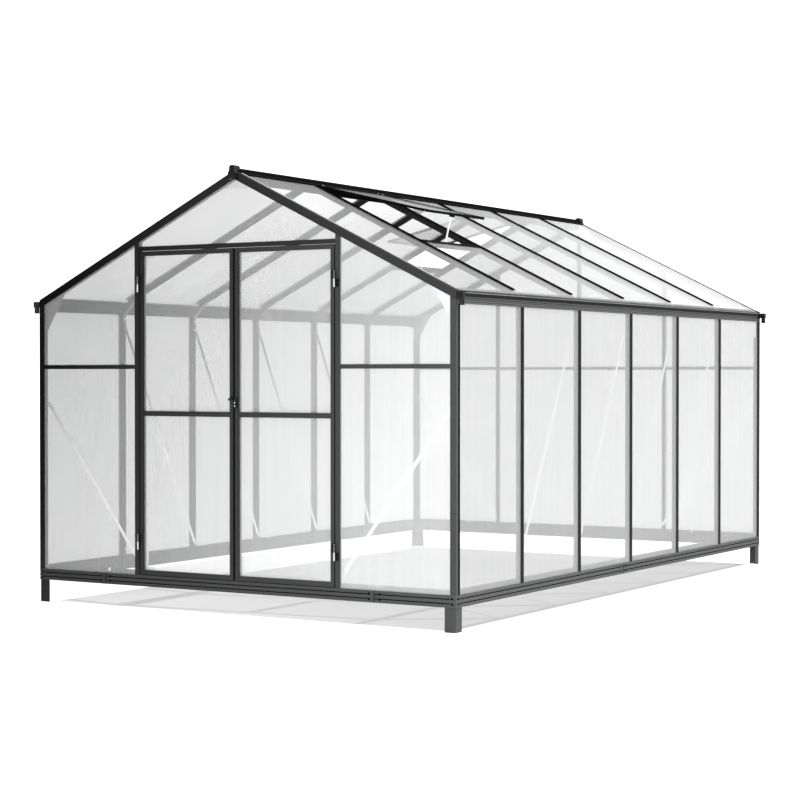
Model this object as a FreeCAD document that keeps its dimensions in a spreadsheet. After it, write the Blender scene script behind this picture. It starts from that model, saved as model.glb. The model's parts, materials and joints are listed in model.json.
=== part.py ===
"""Walk-in greenhouse: gable roof, double swing doors, two roof vents.

Units are millimetres. The origin is on the ground under the middle of the house, +Z is up, the doors face -Y
and the ridge runs along Y. The house is the same after a half turn about Z, apart from its doors.
"""
import FreeCAD, Part
import math
import os
from dataclasses import dataclass

import Sketcher

SHEET = "Sizes"

SIZES = {
    # overall
    "bay": 608,
    "bays": 6,
    "end_margin": 23,
    "house_width": 2380,
    "eave_height": 1501,
    "ridge_height": 2084,
    # base frame and ground legs
    "foot_height": 110,
    "foot_arm": 56,
    "foot_wall": 3,
    "foot_top_gap": 0.5,
    "base_height": 54,
    "base_depth": 33,
    "base_wall": 3,
    "base_channel": 13,
    "base_inner_rise": 21,
    "groove_depth": 1.2,
    "groove_height": 4.5,
    "lower_groove": 15,
    "upper_groove": 35,
    "front_splice": 770,
    "side_splice": 100,
    "rail_joint": 0.6,
    "splice_length": 85,
    "splice_wall": 2.5,
    "splice_clear": 2,
    "screw_radius": 3.6,
    "screw_head": 1.6,
    "screw_row": 12,
    "screw_column": 28,
    "corner_screw": 20,
    # bars and their glazing slots
    "skin": 3,
    "slot": 5,
    "neck": 8,
    "bar_face": 27,
    "bar_body": 24,
    "bar_depth": 29,
    "roof_bar_stop": 45,
    "post_front": 30,
    "post_side": 37,
    "post_core": 14,
    "rafter_face": 36,
    "rafter_joint": 0.5,
    "rebate": 10,
    "panel_wall": 4.5,
    "glass_gap": 1,
    "roof_panel_back": 6,
    "overcut": 1,
    # eave rail and gutter
    "eave_drop": 57,
    "eave_depth": 30,
    "gutter_reach": 6,
    "gutter_lip": 8,
    "gutter_drop": 26,
    "gutter_wall": 2,
    "gutter_inner": 16,
    "eave_grooves": 3,
    "eave_joint": 100,
    "eave_splice_inset": 4,
    "end_gap": 1,
    "outlet_reach": 25,
    "outlet_inset": 10,
    "outlet_radius": 12,
    "outlet_bore": 9.5,
    "outlet_drop": 40,
    "outlet_arm_drop": 10,
    # ridge
    "ridge_rise": 12,
    "ridge_bead": 24,
    "ridge_web": 10,
    "ridge_drop": 54,
    "ridge_foot": 24,
    "cap_reach": 18,
    "cap_rise": 24,
    "cap_width": 30,
    "cap_skirt": 44,
    "cap_seat": 1,
    "barrel_run": 40,
    "barrel_radius": 6.5,
    "bead_radius": 3.2,
    "bead_gap": 0.3,
    "mouth_spare": 3.84,
    # front gable and doors
    "jamb_place": 576,
    "jamb_face": 26,
    "door_head": 1726,
    "header_face": 20,
    "mid_rail": 1168,
    "mid_rail_face": 20,
    "door_gap": 3,
    "door_play": 2,
    "leaf_gap": 4,
    "stile": 24,
    "door_rail": 22,
    "door_depth": 24,
    "door_groove": 9.5,
    "door_slot_depth": 8,
    "door_mid": 944,
    "brace_width": 16,
    "brace_wall": 3,
    "brace_low": 200,
    "brace_high": 1390,
    "gable_brace_low": 210,
    "gable_brace_high": 995,
    # hinges and latch
    "hinge_height": 75,
    "hinge_inset": 158,
    "hinge_offset": 8,
    "hinge_leaf": 20,
    "leaf_wall": 2,
    "knuckle_radius": 5,
    "pin_radius": 3,
    "pin_gap": 0.05,
    "knuckle_gap": 0.5,
    "latch_height": 1012,
    "latch_plate": 18,
    "latch_plate_height": 55,
    "latch_plate_drop": 40.5,
    "lever_length": 34,
    "lever_width": 10,
    "lever_wall": 6,
    "hub_radius": 8,
    "hub_height": 9,
    "boss_radius": 7,
    "pin_sink": 1,
    "keeper_leg": 8,
    "keeper_gap": 1,
    "keeper_lip": 2,
    # vents
    "vent_run": 690,
    "vent_open": 12.8,
    "sash_bar": 16,
    "sash_depth": 12,
    "sash_gap": 3,
    "sill_face": 25,
    "stay_inset": 28,
    "stay_drop": 12,
    "stay_width": 11,
    "stay_wall": 2.5,
    "stay_hole": 3.5,
    "stay_steps": 5,
    "stay_play": 1,
    "stay_pin": 1.2,
    "stay_barrel": 2.6,
    "peg_radius": 2.5,
    "peg_gap": 1.2,
    "peg_drop": 20.7,
    "lug_reach": 5,
    "lug_tongue": 4,
    "seat_reach": 6,
    "seat_clear": 18,
    # bright plates
    "knee_low": 92,
    "knee_width": 20,
    "knee_wall": 3,
    "knee_reach": 75,
    "gusset_leg": 110,
    "gusset_wall": 2.5,
    "apex_leg": 90,
    "bolt_radius": 5,
    "bolt_head": 4,
}


class Expr:
    """A size written as a spreadsheet expression, with its present value."""

    def __init__(self, text, value):
        self.text = text
        self.value = value

    def _join(self, sign, other, value):
        return Expr(f"({self.text} {sign} {as_expr(other).text})", value)

    def __add__(self, other):
        return self._join("+", other, self.value + as_expr(other).value)

    def __sub__(self, other):
        return self._join("-", other, self.value - as_expr(other).value)

    def __mul__(self, other):
        return self._join("*", other, self.value * as_expr(other).value)

    def __truediv__(self, other):
        return self._join("/", other, self.value / as_expr(other).value)

    def __radd__(self, other):
        return as_expr(other) + self

    def __rsub__(self, other):
        return as_expr(other) - self

    def __rmul__(self, other):
        return as_expr(other) * self

    def __neg__(self):
        return as_expr(0) - self


def as_expr(value):
    """Wrap a plain number; leave an expression as it is."""
    return value if isinstance(value, Expr) else Expr(f"{value:g}", float(value))


def root_of(value):
    """Square root of an expression."""
    return Expr(f"sqrt({value.text})", math.sqrt(value.value))


def angle_of(value):
    """Angle in degrees whose tangent is the expression."""
    return Expr(f"atan({value.text})", math.degrees(math.atan(value.value)))


def least(first, second):
    """The smaller of two expressions."""
    return Expr(f"min({first.text}; {second.text})", min(first.value, second.value))


def sine(degrees):
    """Sine of an expression in degrees."""
    return Expr(f"sin({degrees.text} * 1 deg)", math.sin(math.radians(degrees.value)))


def cosine(degrees):
    """Cosine of an expression in degrees."""
    return Expr(f"cos({degrees.text} * 1 deg)", math.cos(math.radians(degrees.value)))


class Names:
    """Gives each driving size of the sheet as an expression."""

    def __getattr__(self, name):
        return Expr(f"{SHEET}.{name}", float(SIZES[name]))


@dataclass
class Disc:
    """A circle in an outline: its centre and radius."""

    across: object
    along: object
    radius: object


size = Names()
BAYS = int(SIZES["bays"])
GROOVES = int(SIZES["eave_grooves"])
STEPS = int(SIZES["stay_steps"])
LEAST_CUT = 0.01
START, END, CENTRE = 1, 2, 3
SIDES = {"right": 1, "left": -1}
ENDS = {"front": -1, "rear": 1}

half_width = size.house_width / 2
half_length = size.bays * size.bay / 2 + size.end_margin
slope = (size.ridge_height - size.eave_height) / half_width
lean = root_of(slope * slope + 1)
tilt = angle_of(slope)
base_bottom = size.foot_height
base_top = size.foot_height + size.base_height
web_top = base_top - size.base_channel
base_inner_top = base_top + size.base_inner_rise
slot_far = size.skin + size.slot
panel_near = size.skin + (size.slot - size.panel_wall) / 2
panel_far = panel_near + size.panel_wall
eave_bottom = size.eave_height - size.eave_drop
rafter_drop = size.rafter_face * lean
hinge_axis_x = size.jamb_place - size.jamb_face / 2
hinge_axis_y = -half_length - size.hinge_offset


def roof(x):
    """Height of the roof's outer plane at a distance x from the ridge line."""
    return size.ridge_height - slope * x


def under_rafter(x):
    """Height at which a gable member meets the rafter above it."""
    return roof(x) - rafter_drop


door_head = least(size.door_head, under_rafter(size.jamb_place + size.jamb_face / 2) - size.header_face)
door_bottom = base_top + size.door_gap
door_top = door_head - size.door_gap
vent_pivot = size.vent_run - size.barrel_run - size.leaf_wall - size.stay_inset
stay_fall = (vent_pivot * sine(size.vent_open) - size.skin + size.peg_drop) / cosine(size.vent_open)


def bar_place(number):
    """Place along Y of a wall or roof bar, counted from the front."""
    return size.bay * number - size.bay * size.bays / 2


doc = FreeCAD.newDocument("greenhouse")
nodes = []


def build_sheet():
    """Write every driving size to the spreadsheet."""
    sheet = doc.addObject("Spreadsheet::Sheet", SHEET)
    for row, (name, number) in enumerate(SIZES.items(), start=1):
        sheet.set(f"A{row}", name)
        sheet.set(f"B{row}", str(number))
        sheet.setAlias(f"B{row}", name)
    doc.recompute()


def new_body(label):
    """Start a sub-part that is built from sketches."""
    body = doc.addObject("PartDesign::Body", label)
    body.Label = label
    nodes.append(body)
    return body


def draw_outline(sketch, outline):
    """Draw one closed outline, each corner tied to its own two sizes."""
    first = sketch.GeometryCount
    corners = [FreeCAD.Vector(x.value, y.value, 0) for x, y in outline]
    after = corners[1:] + corners[:1]
    sketch.addGeometry([Part.LineSegment(a, b) for a, b in zip(corners, after)], False)
    count = len(corners)
    pairs = [(first + n, first + (n + 1) % count) for n in range(count)]
    joins = [Sketcher.Constraint("Coincident", edge, END, following, START) for edge, following in pairs]
    sketch.addConstraint(joins)
    for direction, pick in (("DistanceX", 0), ("DistanceY", 1)):
        ties = [
            Sketcher.Constraint(direction, -1, START, first + n, START, point[pick].value)
            for n, point in enumerate(outline)
        ]
        for number, point in zip(sketch.addConstraint(ties), outline):
            sketch.setExpression(f"Constraints[{number}]", point[pick].text)


def draw_disc(sketch, disc):
    """Draw one circle tied to its centre and radius."""
    centre = FreeCAD.Vector(disc.across.value, disc.along.value, 0)
    index = sketch.addGeometry(Part.Circle(centre, FreeCAD.Vector(0, 0, 1), disc.radius.value), False)
    ties = [
        (Sketcher.Constraint("DistanceX", -1, START, index, CENTRE, disc.across.value), disc.across),
        (Sketcher.Constraint("DistanceY", -1, START, index, CENTRE, disc.along.value), disc.along),
        (Sketcher.Constraint("Radius", index, disc.radius.value), disc.radius),
    ]
    numbers = sketch.addConstraint([tie for tie, _ in ties])
    for number, (_, tied) in zip(numbers, ties):
        sketch.setExpression(f"Constraints[{number}]", tied.text)


def new_sketch(body, role, outlines, offset):
    """Attach a sketch to one of the body's origin planes, moved along the plane's normal by an offset."""
    sketch = body.newObject("Sketcher::SketchObject", f"{body.Name}_sketch")
    plane = next(part for part in body.Origin.OriginFeatures if part.Role == role)
    sketch.AttachmentSupport = [(plane, "")]
    sketch.MapMode = "FlatFace"
    sketch.setExpression("AttachmentOffset.Base.z", offset.text)
    for outline in outlines:
        if isinstance(outline, Disc):
            draw_disc(sketch, Disc(*(as_expr(v) for v in (outline.across, outline.along, outline.radius))))
        else:
            draw_outline(sketch, [(as_expr(x), as_expr(y)) for x, y in outline])
    return sketch


PLANES = {"x": "YZ_Plane", "y": "XZ_Plane", "z": "XY_Plane"}


def pad(body, axis, outlines, low, high):
    """Add material between two places on an axis."""
    low = as_expr(low)
    high = as_expr(high)
    offset = -high if axis == "y" else low
    feature = body.newObject("PartDesign::Pad", f"{body.Name}_pad")
    feature.Profile = new_sketch(body, PLANES[axis], outlines, offset)
    feature.setExpression("Length", (high - low).text)
    body.Tip = feature
    return feature


def cut(body, axis, outlines, low, high):
    """Take material away between two places on an axis, and check that some went."""
    low = as_expr(low)
    high = as_expr(high)
    doc.recompute()
    before = body.Shape.Volume
    offset = -low if axis == "y" else high
    feature = body.newObject("PartDesign::Pocket", f"{body.Name}_pocket")
    feature.Profile = new_sketch(body, PLANES[axis], outlines, offset)
    feature.setExpression("Length", (high - low).text)
    body.Tip = feature
    doc.recompute()
    if not body.Shape.Volume < before - LEAST_CUT:
        raise ValueError(f"a cut in {body.Label} took nothing away")


def repeat_along(body, feature, spacing, count):
    """Copy a feature along the house with a linear pattern."""
    pattern = body.newObject("PartDesign::LinearPattern", f"{body.Name}_pattern")
    axis = next(part for part in body.Origin.OriginFeatures if part.Role == "Y_Axis")
    pattern.Originals = [feature]
    pattern.Direction = (axis, [""])
    pattern.Length = spacing.value * (count.value - 1)
    pattern.Occurrences = int(count.value)
    pattern.setExpression("Length", (spacing * (count - 1)).text)
    pattern.setExpression("Occurrences", count.text)
    body.Tip = pattern


def place_on_slope(body, side, along, run, rise, turn):
    """Put a body on a roof slope: X runs down the slope and Z points away from the house.

    along is the place on Y, run and rise are measured from the ridge line in the slope's own directions,
    and turn is the angle by which the body stands up from the slope.
    """
    sign = SIDES[side]
    across = (run + rise * slope) / lean
    height = size.ridge_height - (run * slope - rise) / lean
    turned = (tilt - Expr(f"{turn.text} * 1 deg", turn.value)) if turn else tilt
    yaw = 0 if sign > 0 else 180
    place = f"vector({(sign * across).text}; {(sign * along).text}; {height.text})"
    body.setExpression("Placement", f"placement({place}; rotation({yaw}; {turned.text}; 0))")


def rectangle(low_x, high_x, low_y, high_y):
    """Four corners of a rectangle."""
    return [(low_x, low_y), (high_x, low_y), (high_x, high_y), (low_x, high_y)]


def mirrored(outline, across=1, along=1):
    """Turn an outline over in one or both directions."""
    return [(across * as_expr(x), along * as_expr(y)) for x, y in outline]


def four_ways(outline):
    """An outline at all four corners of the house."""
    return [mirrored(outline, i, j) for i in SIDES.values() for j in ENDS.values()]


def in_order(places):
    """Places sorted from the lowest to the highest."""
    return sorted(places, key=lambda place: place.value)


def both_ways(outline):
    """An outline and its mirror image across the ridge line."""
    return [outline, mirrored(outline, -1)]


# ---- ground legs and base frame ----


def rail_section():
    """Section of a base rail: (distance inwards from the outer face, height)."""
    depth = size.base_depth
    wall = size.base_wall
    outline = [(0, base_bottom)]
    for start in (size.lower_groove, size.upper_groove):
        low = base_bottom + start
        outline += [(0, low), (size.groove_depth, low)]
        outline += [(size.groove_depth, low + size.groove_height), (0, low + size.groove_height)]
    outline += [(0, base_top), (wall, base_top), (wall, web_top), (depth - wall, web_top)]
    outline += [(depth - wall, base_inner_top), (depth, base_inner_top), (depth, base_bottom)]
    outline += [(depth - wall, base_bottom), (depth - wall, web_top - wall)]
    outline += [(wall, web_top - wall), (wall, base_bottom)]
    return outline


def section_at(outline, reach, sign):
    """Put a section's outer face at a reach from the middle, on the side that the sign gives."""
    return [(sign * (reach - as_expr(inward)), height) for inward, height in outline]


def build_feet():
    """Four L-angle legs that stand on the ground and reach up into the base rails."""
    body = new_body("feet")
    arm = size.foot_arm
    wall = size.foot_wall
    x = half_width - size.base_wall
    y = half_length - size.base_wall
    outline = [(x, y), (x - arm, y), (x - arm, y - wall)]
    outline += [(x - wall, y - wall), (x - wall, y - arm), (x, y - arm)]
    pad(body, "z", four_ways(outline), 0, web_top - size.base_wall - size.foot_top_gap)


def mitre_waste(keep_front):
    """Corner waste, on the far side of the 45 degree line through each corner."""
    depth = size.base_depth + size.overcut
    far_x = half_width + size.overcut
    far_y = half_length + size.overcut
    outer = (far_x, far_y)
    inner = (half_width - depth, half_length - depth)
    third = (far_x, half_length - depth) if keep_front else (half_width - depth, far_y)
    return [outer, third, inner]


def build_base():
    """Base rails: three lengths at the front and the rear, two at each side, mitred at the corners."""
    gap = size.rail_joint / 2
    below = base_bottom - size.overcut
    above = base_inner_top + size.overcut
    for end, sign in ENDS.items():
        body = new_body(f"base_rails_{end}")
        outline = section_at(rail_section(), half_length, sign)
        joints = [-half_width, -size.front_splice, size.front_splice, half_width]
        for start, stop in zip(joints[:-1], joints[1:]):
            pad(body, "x", [outline], start + gap, stop - gap)
        waste = mitre_waste(True)
        cut(body, "z", [mirrored(waste, i, sign) for i in SIDES.values()], below, above)
    for side, sign in SIDES.items():
        body = new_body(f"base_rails_{side}")
        outline = section_at(rail_section(), half_width, sign)
        joints = [-half_length, -sign * size.side_splice, half_length]
        for start, stop in zip(joints[:-1], joints[1:]):
            pad(body, "y", [outline], start + gap, stop - gap)
        waste = mitre_waste(False)
        cut(body, "z", [mirrored(waste, sign, j) for j in ENDS.values()], below, above)


def build_base_splices():
    """Plates behind the outer walls of the base rails, across each joint."""
    body = new_body("base_splice_plates")
    low = base_bottom + size.splice_clear
    high = web_top - size.base_wall - size.splice_clear
    half = size.splice_length / 2
    inner = half_length - size.base_wall
    for sign in ENDS.values():
        faces = in_order([sign * inner, sign * (inner - size.splice_wall)])
        middles = [i * size.front_splice for i in SIDES.values()]
        plates = [rectangle(middle - half, middle + half, low, high) for middle in middles]
        pad(body, "y", plates, *faces)
    inner = half_width - size.base_wall
    for sign in SIDES.values():
        faces = in_order([sign * inner, sign * (inner - size.splice_wall)])
        middle = -sign * size.side_splice
        pad(body, "x", [rectangle(middle - half, middle + half, low, high)], *faces)


def build_base_screws():
    """Screw heads on the base rails: four at each joint and two at each end of every side."""
    body = new_body("base_screws")
    middle = base_bottom + size.base_height / 2
    rows = [middle - size.screw_row, middle + size.screw_row]
    ends = [half_width - size.corner_screw, -half_width + size.corner_screw]
    columns = [i * size.front_splice + j * size.screw_column for i in (1, -1) for j in (1, -1)]
    heads = [Disc(x, z, size.screw_radius) for x in columns + ends for z in rows]
    for sign in ENDS.values():
        faces = in_order([sign * half_length, sign * (half_length + size.screw_head)])
        pad(body, "y", heads, *faces)
    for sign in SIDES.values():
        ends = [half_length - size.corner_screw, -half_length + size.corner_screw]
        columns = [-sign * size.side_splice + j * size.screw_column for j in (1, -1)]
        heads = [Disc(y, z, size.screw_radius) for y in columns + ends for z in rows]
        faces = in_order([sign * half_width, sign * (half_width + size.screw_head)])
        pad(body, "x", heads, *faces)


# ---- posts, bars, rafters, ridge and eaves ----


def build_corner_posts():
    """Corner posts: an outer angle, a core and an inner block, with glazing slots between them."""
    body = new_body("corner_posts")
    core = size.post_core
    depth = size.bar_depth
    inward = [(0, 0), (size.post_front, 0), (size.post_front, size.skin), (core, size.skin), (core, slot_far)]
    inward += [(depth, slot_far), (depth, depth), (slot_far, depth), (slot_far, core), (size.skin, core)]
    inward += [(size.skin, size.post_side), (0, size.post_side)]
    outline = [(half_width - u, half_length - v) for u, v in inward]
    pad(body, "z", four_ways(outline), base_top, size.eave_height - rafter_drop)


def bar_section():
    """Section of a glazing bar: (depth below the outer face, place across the bar)."""
    face = size.bar_face / 2
    neck = size.neck / 2
    block = size.bar_body / 2
    half = [(0, face), (size.skin, face), (size.skin, neck), (slot_far, neck), (slot_far, block)]
    half += [(size.bar_depth, block)]
    return half + [(depth, -across) for depth, across in reversed(half)]


def build_wall_bars():
    """Five upright glazing bars in each side wall, from the base rail to the eave rail."""
    for side, sign in SIDES.items():
        body = new_body(f"wall_bars_{side}")
        first = bar_place(1)
        outline = [(sign * (half_width - depth), first + across) for depth, across in bar_section()]
        bar = pad(body, "z", [outline], base_top, eave_bottom)
        repeat_along(body, bar, size.bay, size.bays - 1)


def build_roof_bars():
    """Five glazing bars on each slope, with round lower ends, stopping short of the eave."""
    stop = (half_width - size.roof_bar_stop) * lean
    start = size.barrel_run + size.barrel_radius + size.glass_gap
    face = size.bar_face / 2
    for side in SIDES:
        body = new_body(f"roof_bars_{side}")
        place_on_slope(body, side, as_expr(0), as_expr(0), as_expr(0), None)
        for number in range(1, BAYS):
            middle = bar_place(number)
            outline = [(middle + across, -depth) for depth, across in bar_section()]
            pad(body, "x", [outline], start, stop - face)
            pad(body, "z", [Disc(stop - face, middle, face)], -size.skin, 0)


def slope_band(start, stop, top, bottom):
    """A band that follows the right roof slope, between two depths square to it."""
    upper = top * lean
    lower = bottom * lean
    band = [(start, roof(start) - upper), (stop, roof(stop) - upper)]
    band += [(stop, roof(stop) - lower), (start, roof(start) - lower)]
    return band


def build_rafters():
    """Gable rafters: front plate, top plate, core and inner block, with slots for roof and gable glazing."""
    start = size.rafter_joint / 2
    inner = half_width - size.post_front
    foot = size.eave_height - rafter_drop
    front = [(start, roof(start)), (half_width, size.eave_height), (half_width, foot), (inner, foot)]
    front += [(inner, roof(inner) - rafter_drop), (start, roof(start) - rafter_drop)]
    core = slope_band(start, inner, size.skin, size.post_core)
    block = slope_band(start, inner, slot_far, size.rafter_face)
    shoulder = slope_band(start, inner, slot_far, size.post_core)
    top = slope_band(start, half_width, as_expr(0), size.skin)
    heel = rectangle(half_width - size.skin, half_width, foot, size.eave_height)
    levels = [
        (front, as_expr(0), size.skin),
        (top, as_expr(0), size.post_front),
        (core, size.skin, size.post_core),
        (shoulder, size.skin, slot_far),
        (block, slot_far, size.bar_depth),
        (heel, as_expr(0), size.post_side),
    ]
    for end, sign in ENDS.items():
        body = new_body(f"rafters_{end}")
        for outline, near, far in levels:
            places = [sign * (half_length - near), sign * (half_length - far)]
            pad(body, "y", both_ways(outline), *in_order(places))


def build_ridge():
    """Ridge beam of two lengths: bead, web, foot, sloping wings and a hinge barrel along each wing."""
    body = new_body("ridge_beam")
    end = half_length - size.bar_depth - size.gusset_wall - size.end_gap
    gap = size.rail_joint / 2
    bead = size.ridge_bead / 2
    top = size.ridge_height + size.ridge_rise
    chamfer = bead / 2
    web = size.ridge_web / 2
    foot = size.ridge_foot / 2
    bottom = size.ridge_height - size.ridge_drop
    barrel_x = (size.barrel_run - size.skin * slope) / lean
    barrel_z = size.ridge_height - (size.barrel_run * slope + size.skin) / lean
    wing = barrel_x
    half = [(bead, roof(bead)), (wing, roof(wing)), (wing, roof(wing) - size.skin * lean)]
    half += [(web, roof(web) - size.skin * lean), (web, bottom + size.skin), (foot, bottom + size.skin)]
    half += [(foot, bottom)]
    outline = [(-bead + chamfer, top), (bead - chamfer, top), (bead, top - chamfer)] + half
    outline += [(-x, z) for x, z in reversed(half)] + [(-bead, top - chamfer)]
    barrels = [Disc(i * barrel_x, barrel_z, size.barrel_radius) for i in (1, -1)]
    for start, stop in ((-end, -gap), (gap, end)):
        pad(body, "y", [outline], start, stop)
        pad(body, "y", barrels, start, stop)
    bores = [Disc(i * barrel_x, barrel_z, size.bead_radius + size.bead_gap) for i in (1, -1)]
    cut(body, "y", bores, -end - 1, end + 1)
    cut(body, "y", both_ways(barrel_mouth(barrel_x, barrel_z)), -end - 1, end + 1)


def barrel_mouth(barrel_x, barrel_z):
    """Opening of the hinge barrel, wide enough for the sash from shut to fully open."""
    reach = size.barrel_radius * 2
    room = size.leaf_wall / 2 + size.bead_gap
    turned = size.vent_open + size.mouth_spare

    def far_point(degrees, shift):
        """The mouth's corner beyond the barrel, turned down from the level by the roof's tilt and more."""
        more_sine = sine(degrees)
        more_cosine = cosine(degrees)
        turn_sine = normal_x * more_cosine + normal_z * more_sine
        turn_cosine = normal_z * more_cosine - normal_x * more_sine
        across = barrel_x + reach * turn_cosine + shift * turn_sine
        height = barrel_z - reach * turn_sine + shift * turn_cosine
        return (across, height)

    normal_x = slope / lean
    normal_z = as_expr(1) / lean
    back_low = (barrel_x - room * normal_x, barrel_z - room * normal_z)
    back_high = (barrel_x + room * normal_x, barrel_z + room * normal_z)
    return [back_low, far_point(size.mouth_spare, -room), far_point(-turned, room), back_high]


def build_ridge_caps():
    """Moulded caps over both ends of the ridge, with a shield in front of the gable's peak."""
    body = new_body("ridge_end_caps")
    top = size.ridge_height + size.cap_rise
    half = size.cap_width / 2
    skirt = size.cap_skirt / 2
    crown = half / 2
    over = [(-crown, top), (crown, top), (half, top - crown), (half, size.ridge_height + size.cap_seat)]
    over += [(-half, size.ridge_height + size.cap_seat), (-half, top - crown)]
    shield = [(-crown, top), (crown, top), (half, top - crown), (half, size.ridge_height + size.cap_seat)]
    shield += [(skirt, roof(skirt)), (skirt, roof(skirt) - size.rafter_face)]
    shield += [(0, size.ridge_height - size.rafter_face)]
    shield += [(-skirt, roof(skirt) - size.rafter_face), (-skirt, roof(skirt))]
    shield += [(-half, size.ridge_height + size.cap_seat)]
    shield += [(-half, top - crown)]
    for sign in ENDS.values():
        outer = sign * (half_length + size.cap_reach)
        face = sign * half_length
        inner = sign * (half_length - size.post_front)
        for outline, places in ((shield, [outer, face]), (over, [outer, inner])):
            pad(body, "y", [outline], *in_order(places))


def eave_section():
    """Section of the eave rail: (reach from the middle, height), gutter outwards, glazing slot below."""
    face = half_width
    lip = half_width + size.gutter_reach
    wall = size.gutter_wall
    back = half_width - size.gutter_inner
    inner = half_width - size.eave_depth
    floor = size.eave_height - size.gutter_drop
    under = slot_far + size.glass_gap
    outline = [(face, eave_bottom)]
    for step in range(1, GROOVES + 1):
        low = eave_bottom + step * (floor - eave_bottom) / (size.eave_grooves + 1)
        outline += [(face, low), (face - size.groove_depth, low)]
        outline += [(face - size.groove_depth, low + size.groove_height), (face, low + size.groove_height)]
    outline += [(face, floor), (lip, floor), (lip, size.eave_height - size.gutter_lip)]
    outline += [(lip - wall, size.eave_height - size.gutter_lip)]
    outline += [(lip - wall, floor + wall), (back, floor + wall)]
    outline += [(back, roof(back) - under * lean), (inner, roof(inner) - under * lean), (inner, eave_bottom)]
    outline += [(face - slot_far, eave_bottom), (face - slot_far, floor - size.skin)]
    outline += [(face - size.skin, floor - size.skin), (face - size.skin, eave_bottom)]
    return outline


def build_eaves():
    """Eave rails of two lengths a side, and the bright plate that joins each pair inside."""
    end = half_length - size.post_side - size.end_gap
    gap = size.rail_joint / 2
    plates = new_body("eave_splice_plates")
    half = size.splice_length / 2
    inner = half_width - size.eave_depth
    for side, sign in SIDES.items():
        body = new_body(f"eave_rail_{side}")
        outline = mirrored(eave_section(), sign)
        joints = [-end, -sign * size.eave_joint, end]
        for start, stop in zip(joints[:-1], joints[1:]):
            pad(body, "y", [outline], start + gap, stop - gap)
        middle = -sign * size.eave_joint
        faces = [sign * inner, sign * (inner - size.splice_wall)]
        low = eave_bottom + size.eave_splice_inset
        plate = rectangle(middle - half, middle + half, low, size.eave_height - size.gutter_lip)
        pad(plates, "x", [plate], *in_order(faces))


def build_outlets():
    """Gutter outlets: a channel past each corner post, a trough outwards and an open downward spout."""
    body = new_body("gutter_outlets")
    floor = size.eave_height - size.gutter_drop
    lip = size.eave_height - size.gutter_lip
    bed = floor + size.gutter_wall
    near = half_width + size.bead_gap
    far = half_width + size.gutter_reach
    reach = half_width + size.outlet_reach
    start = half_length - size.post_side
    spout_y = half_length - size.outlet_inset
    wide = size.outlet_radius
    spouts = [Disc(i * reach, j * spout_y, wide) for i in SIDES.values() for j in ENDS.values()]
    bores = [Disc(i * reach, j * spout_y, size.outlet_bore) for i in SIDES.values() for j in ENDS.values()]
    pad(body, "z", four_ways(rectangle(near, far, start, spout_y - wide)), floor, lip)
    arm = rectangle(near, reach + wide, spout_y - wide, spout_y + wide)
    pad(body, "z", four_ways(arm), floor - size.outlet_arm_drop, lip)
    pad(body, "z", spouts, floor - size.outlet_drop, lip)
    cut(body, "z", bores, floor - size.outlet_drop - size.overcut, lip + size.overcut)
    half = size.outlet_bore
    trough = rectangle(near + size.gutter_wall, reach + half, spout_y - half, spout_y + half)
    cut(body, "z", four_ways(trough), bed, lip + size.overcut)
    channel = rectangle(near - size.overcut, far - size.gutter_wall, start - size.overcut, spout_y - half)
    cut(body, "z", four_ways(channel), bed, lip + size.overcut)


# ---- front and rear gables ----


def gable_member(body, sign, plates, blocks):
    """Add plates at the outer face and blocks behind them to a gable body."""
    pad(body, "y", plates, *in_order([sign * half_length, sign * (half_length - size.skin)]))
    places = [sign * (half_length - size.skin), sign * (half_length - size.bar_depth)]
    pad(body, "y", blocks, *in_order(places))


def post_outline(low_x, high_x, bottom):
    """An upright under the right rafter, with its top cut to the slope."""
    return [(low_x, bottom), (high_x, bottom), (high_x, under_rafter(high_x)), (low_x, under_rafter(low_x))]


def build_jambs():
    """Door jambs from the base rail to the rafters, rebated for the side glazing."""
    body = new_body("door_jambs")
    low = size.jamb_place - size.jamb_face / 2
    high = size.jamb_place + size.jamb_face / 2
    plate = post_outline(low, high, base_top)
    block = post_outline(low, high - size.rebate, base_inner_top + size.glass_gap)
    gable_member(body, ENDS["front"], both_ways(plate), both_ways(block))


def build_header():
    """Door header between the jambs, rebated above for the gable panel."""
    body = new_body("door_header")
    half = size.jamb_place - size.jamb_face / 2
    top = door_head + size.header_face
    plate = rectangle(-half, half, door_head, top)
    block = rectangle(-half, half, door_head, top - size.rebate)
    gable_member(body, ENDS["front"], [plate], [block])


def rail_outlines(low_x, high_x):
    """Plate and block of a mid rail between two uprights' faces."""
    low = size.mid_rail - size.mid_rail_face / 2
    plate = rectangle(low_x, high_x, low, low + size.mid_rail_face)
    block = rectangle(low_x, high_x, size.mid_rail - size.skin, size.mid_rail + size.skin)
    return plate, block


def build_front_mid_rails():
    """Mid rails in the two bays beside the doors."""
    body = new_body("front_mid_rails")
    low = size.jamb_place + size.jamb_face / 2
    high = half_width - size.post_front
    plate, block = rail_outlines(low, high)
    gable_member(body, ENDS["front"], both_ways(plate), both_ways(block))


def build_rear_posts():
    """Rear gable posts: one under the peak and one on each side."""
    body = new_body("rear_posts")
    face = size.jamb_face / 2
    core = size.neck / 2
    side_plate = post_outline(size.jamb_place - face, size.jamb_place + face, base_top)
    side_block = post_outline(size.jamb_place - core, size.jamb_place + core, base_inner_top + size.glass_gap)
    peak = under_rafter(as_expr(0))
    plate = [(-face, base_top), (face, base_top), (face, under_rafter(face))]
    plate += [(0, peak), (-face, under_rafter(face))]
    bottom = base_inner_top + size.glass_gap
    block = [(-core, bottom), (core, bottom), (core, under_rafter(core))]
    block += [(0, peak), (-core, under_rafter(core))]
    gable_member(body, ENDS["rear"], both_ways(side_plate) + [plate], both_ways(side_block) + [block])


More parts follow.
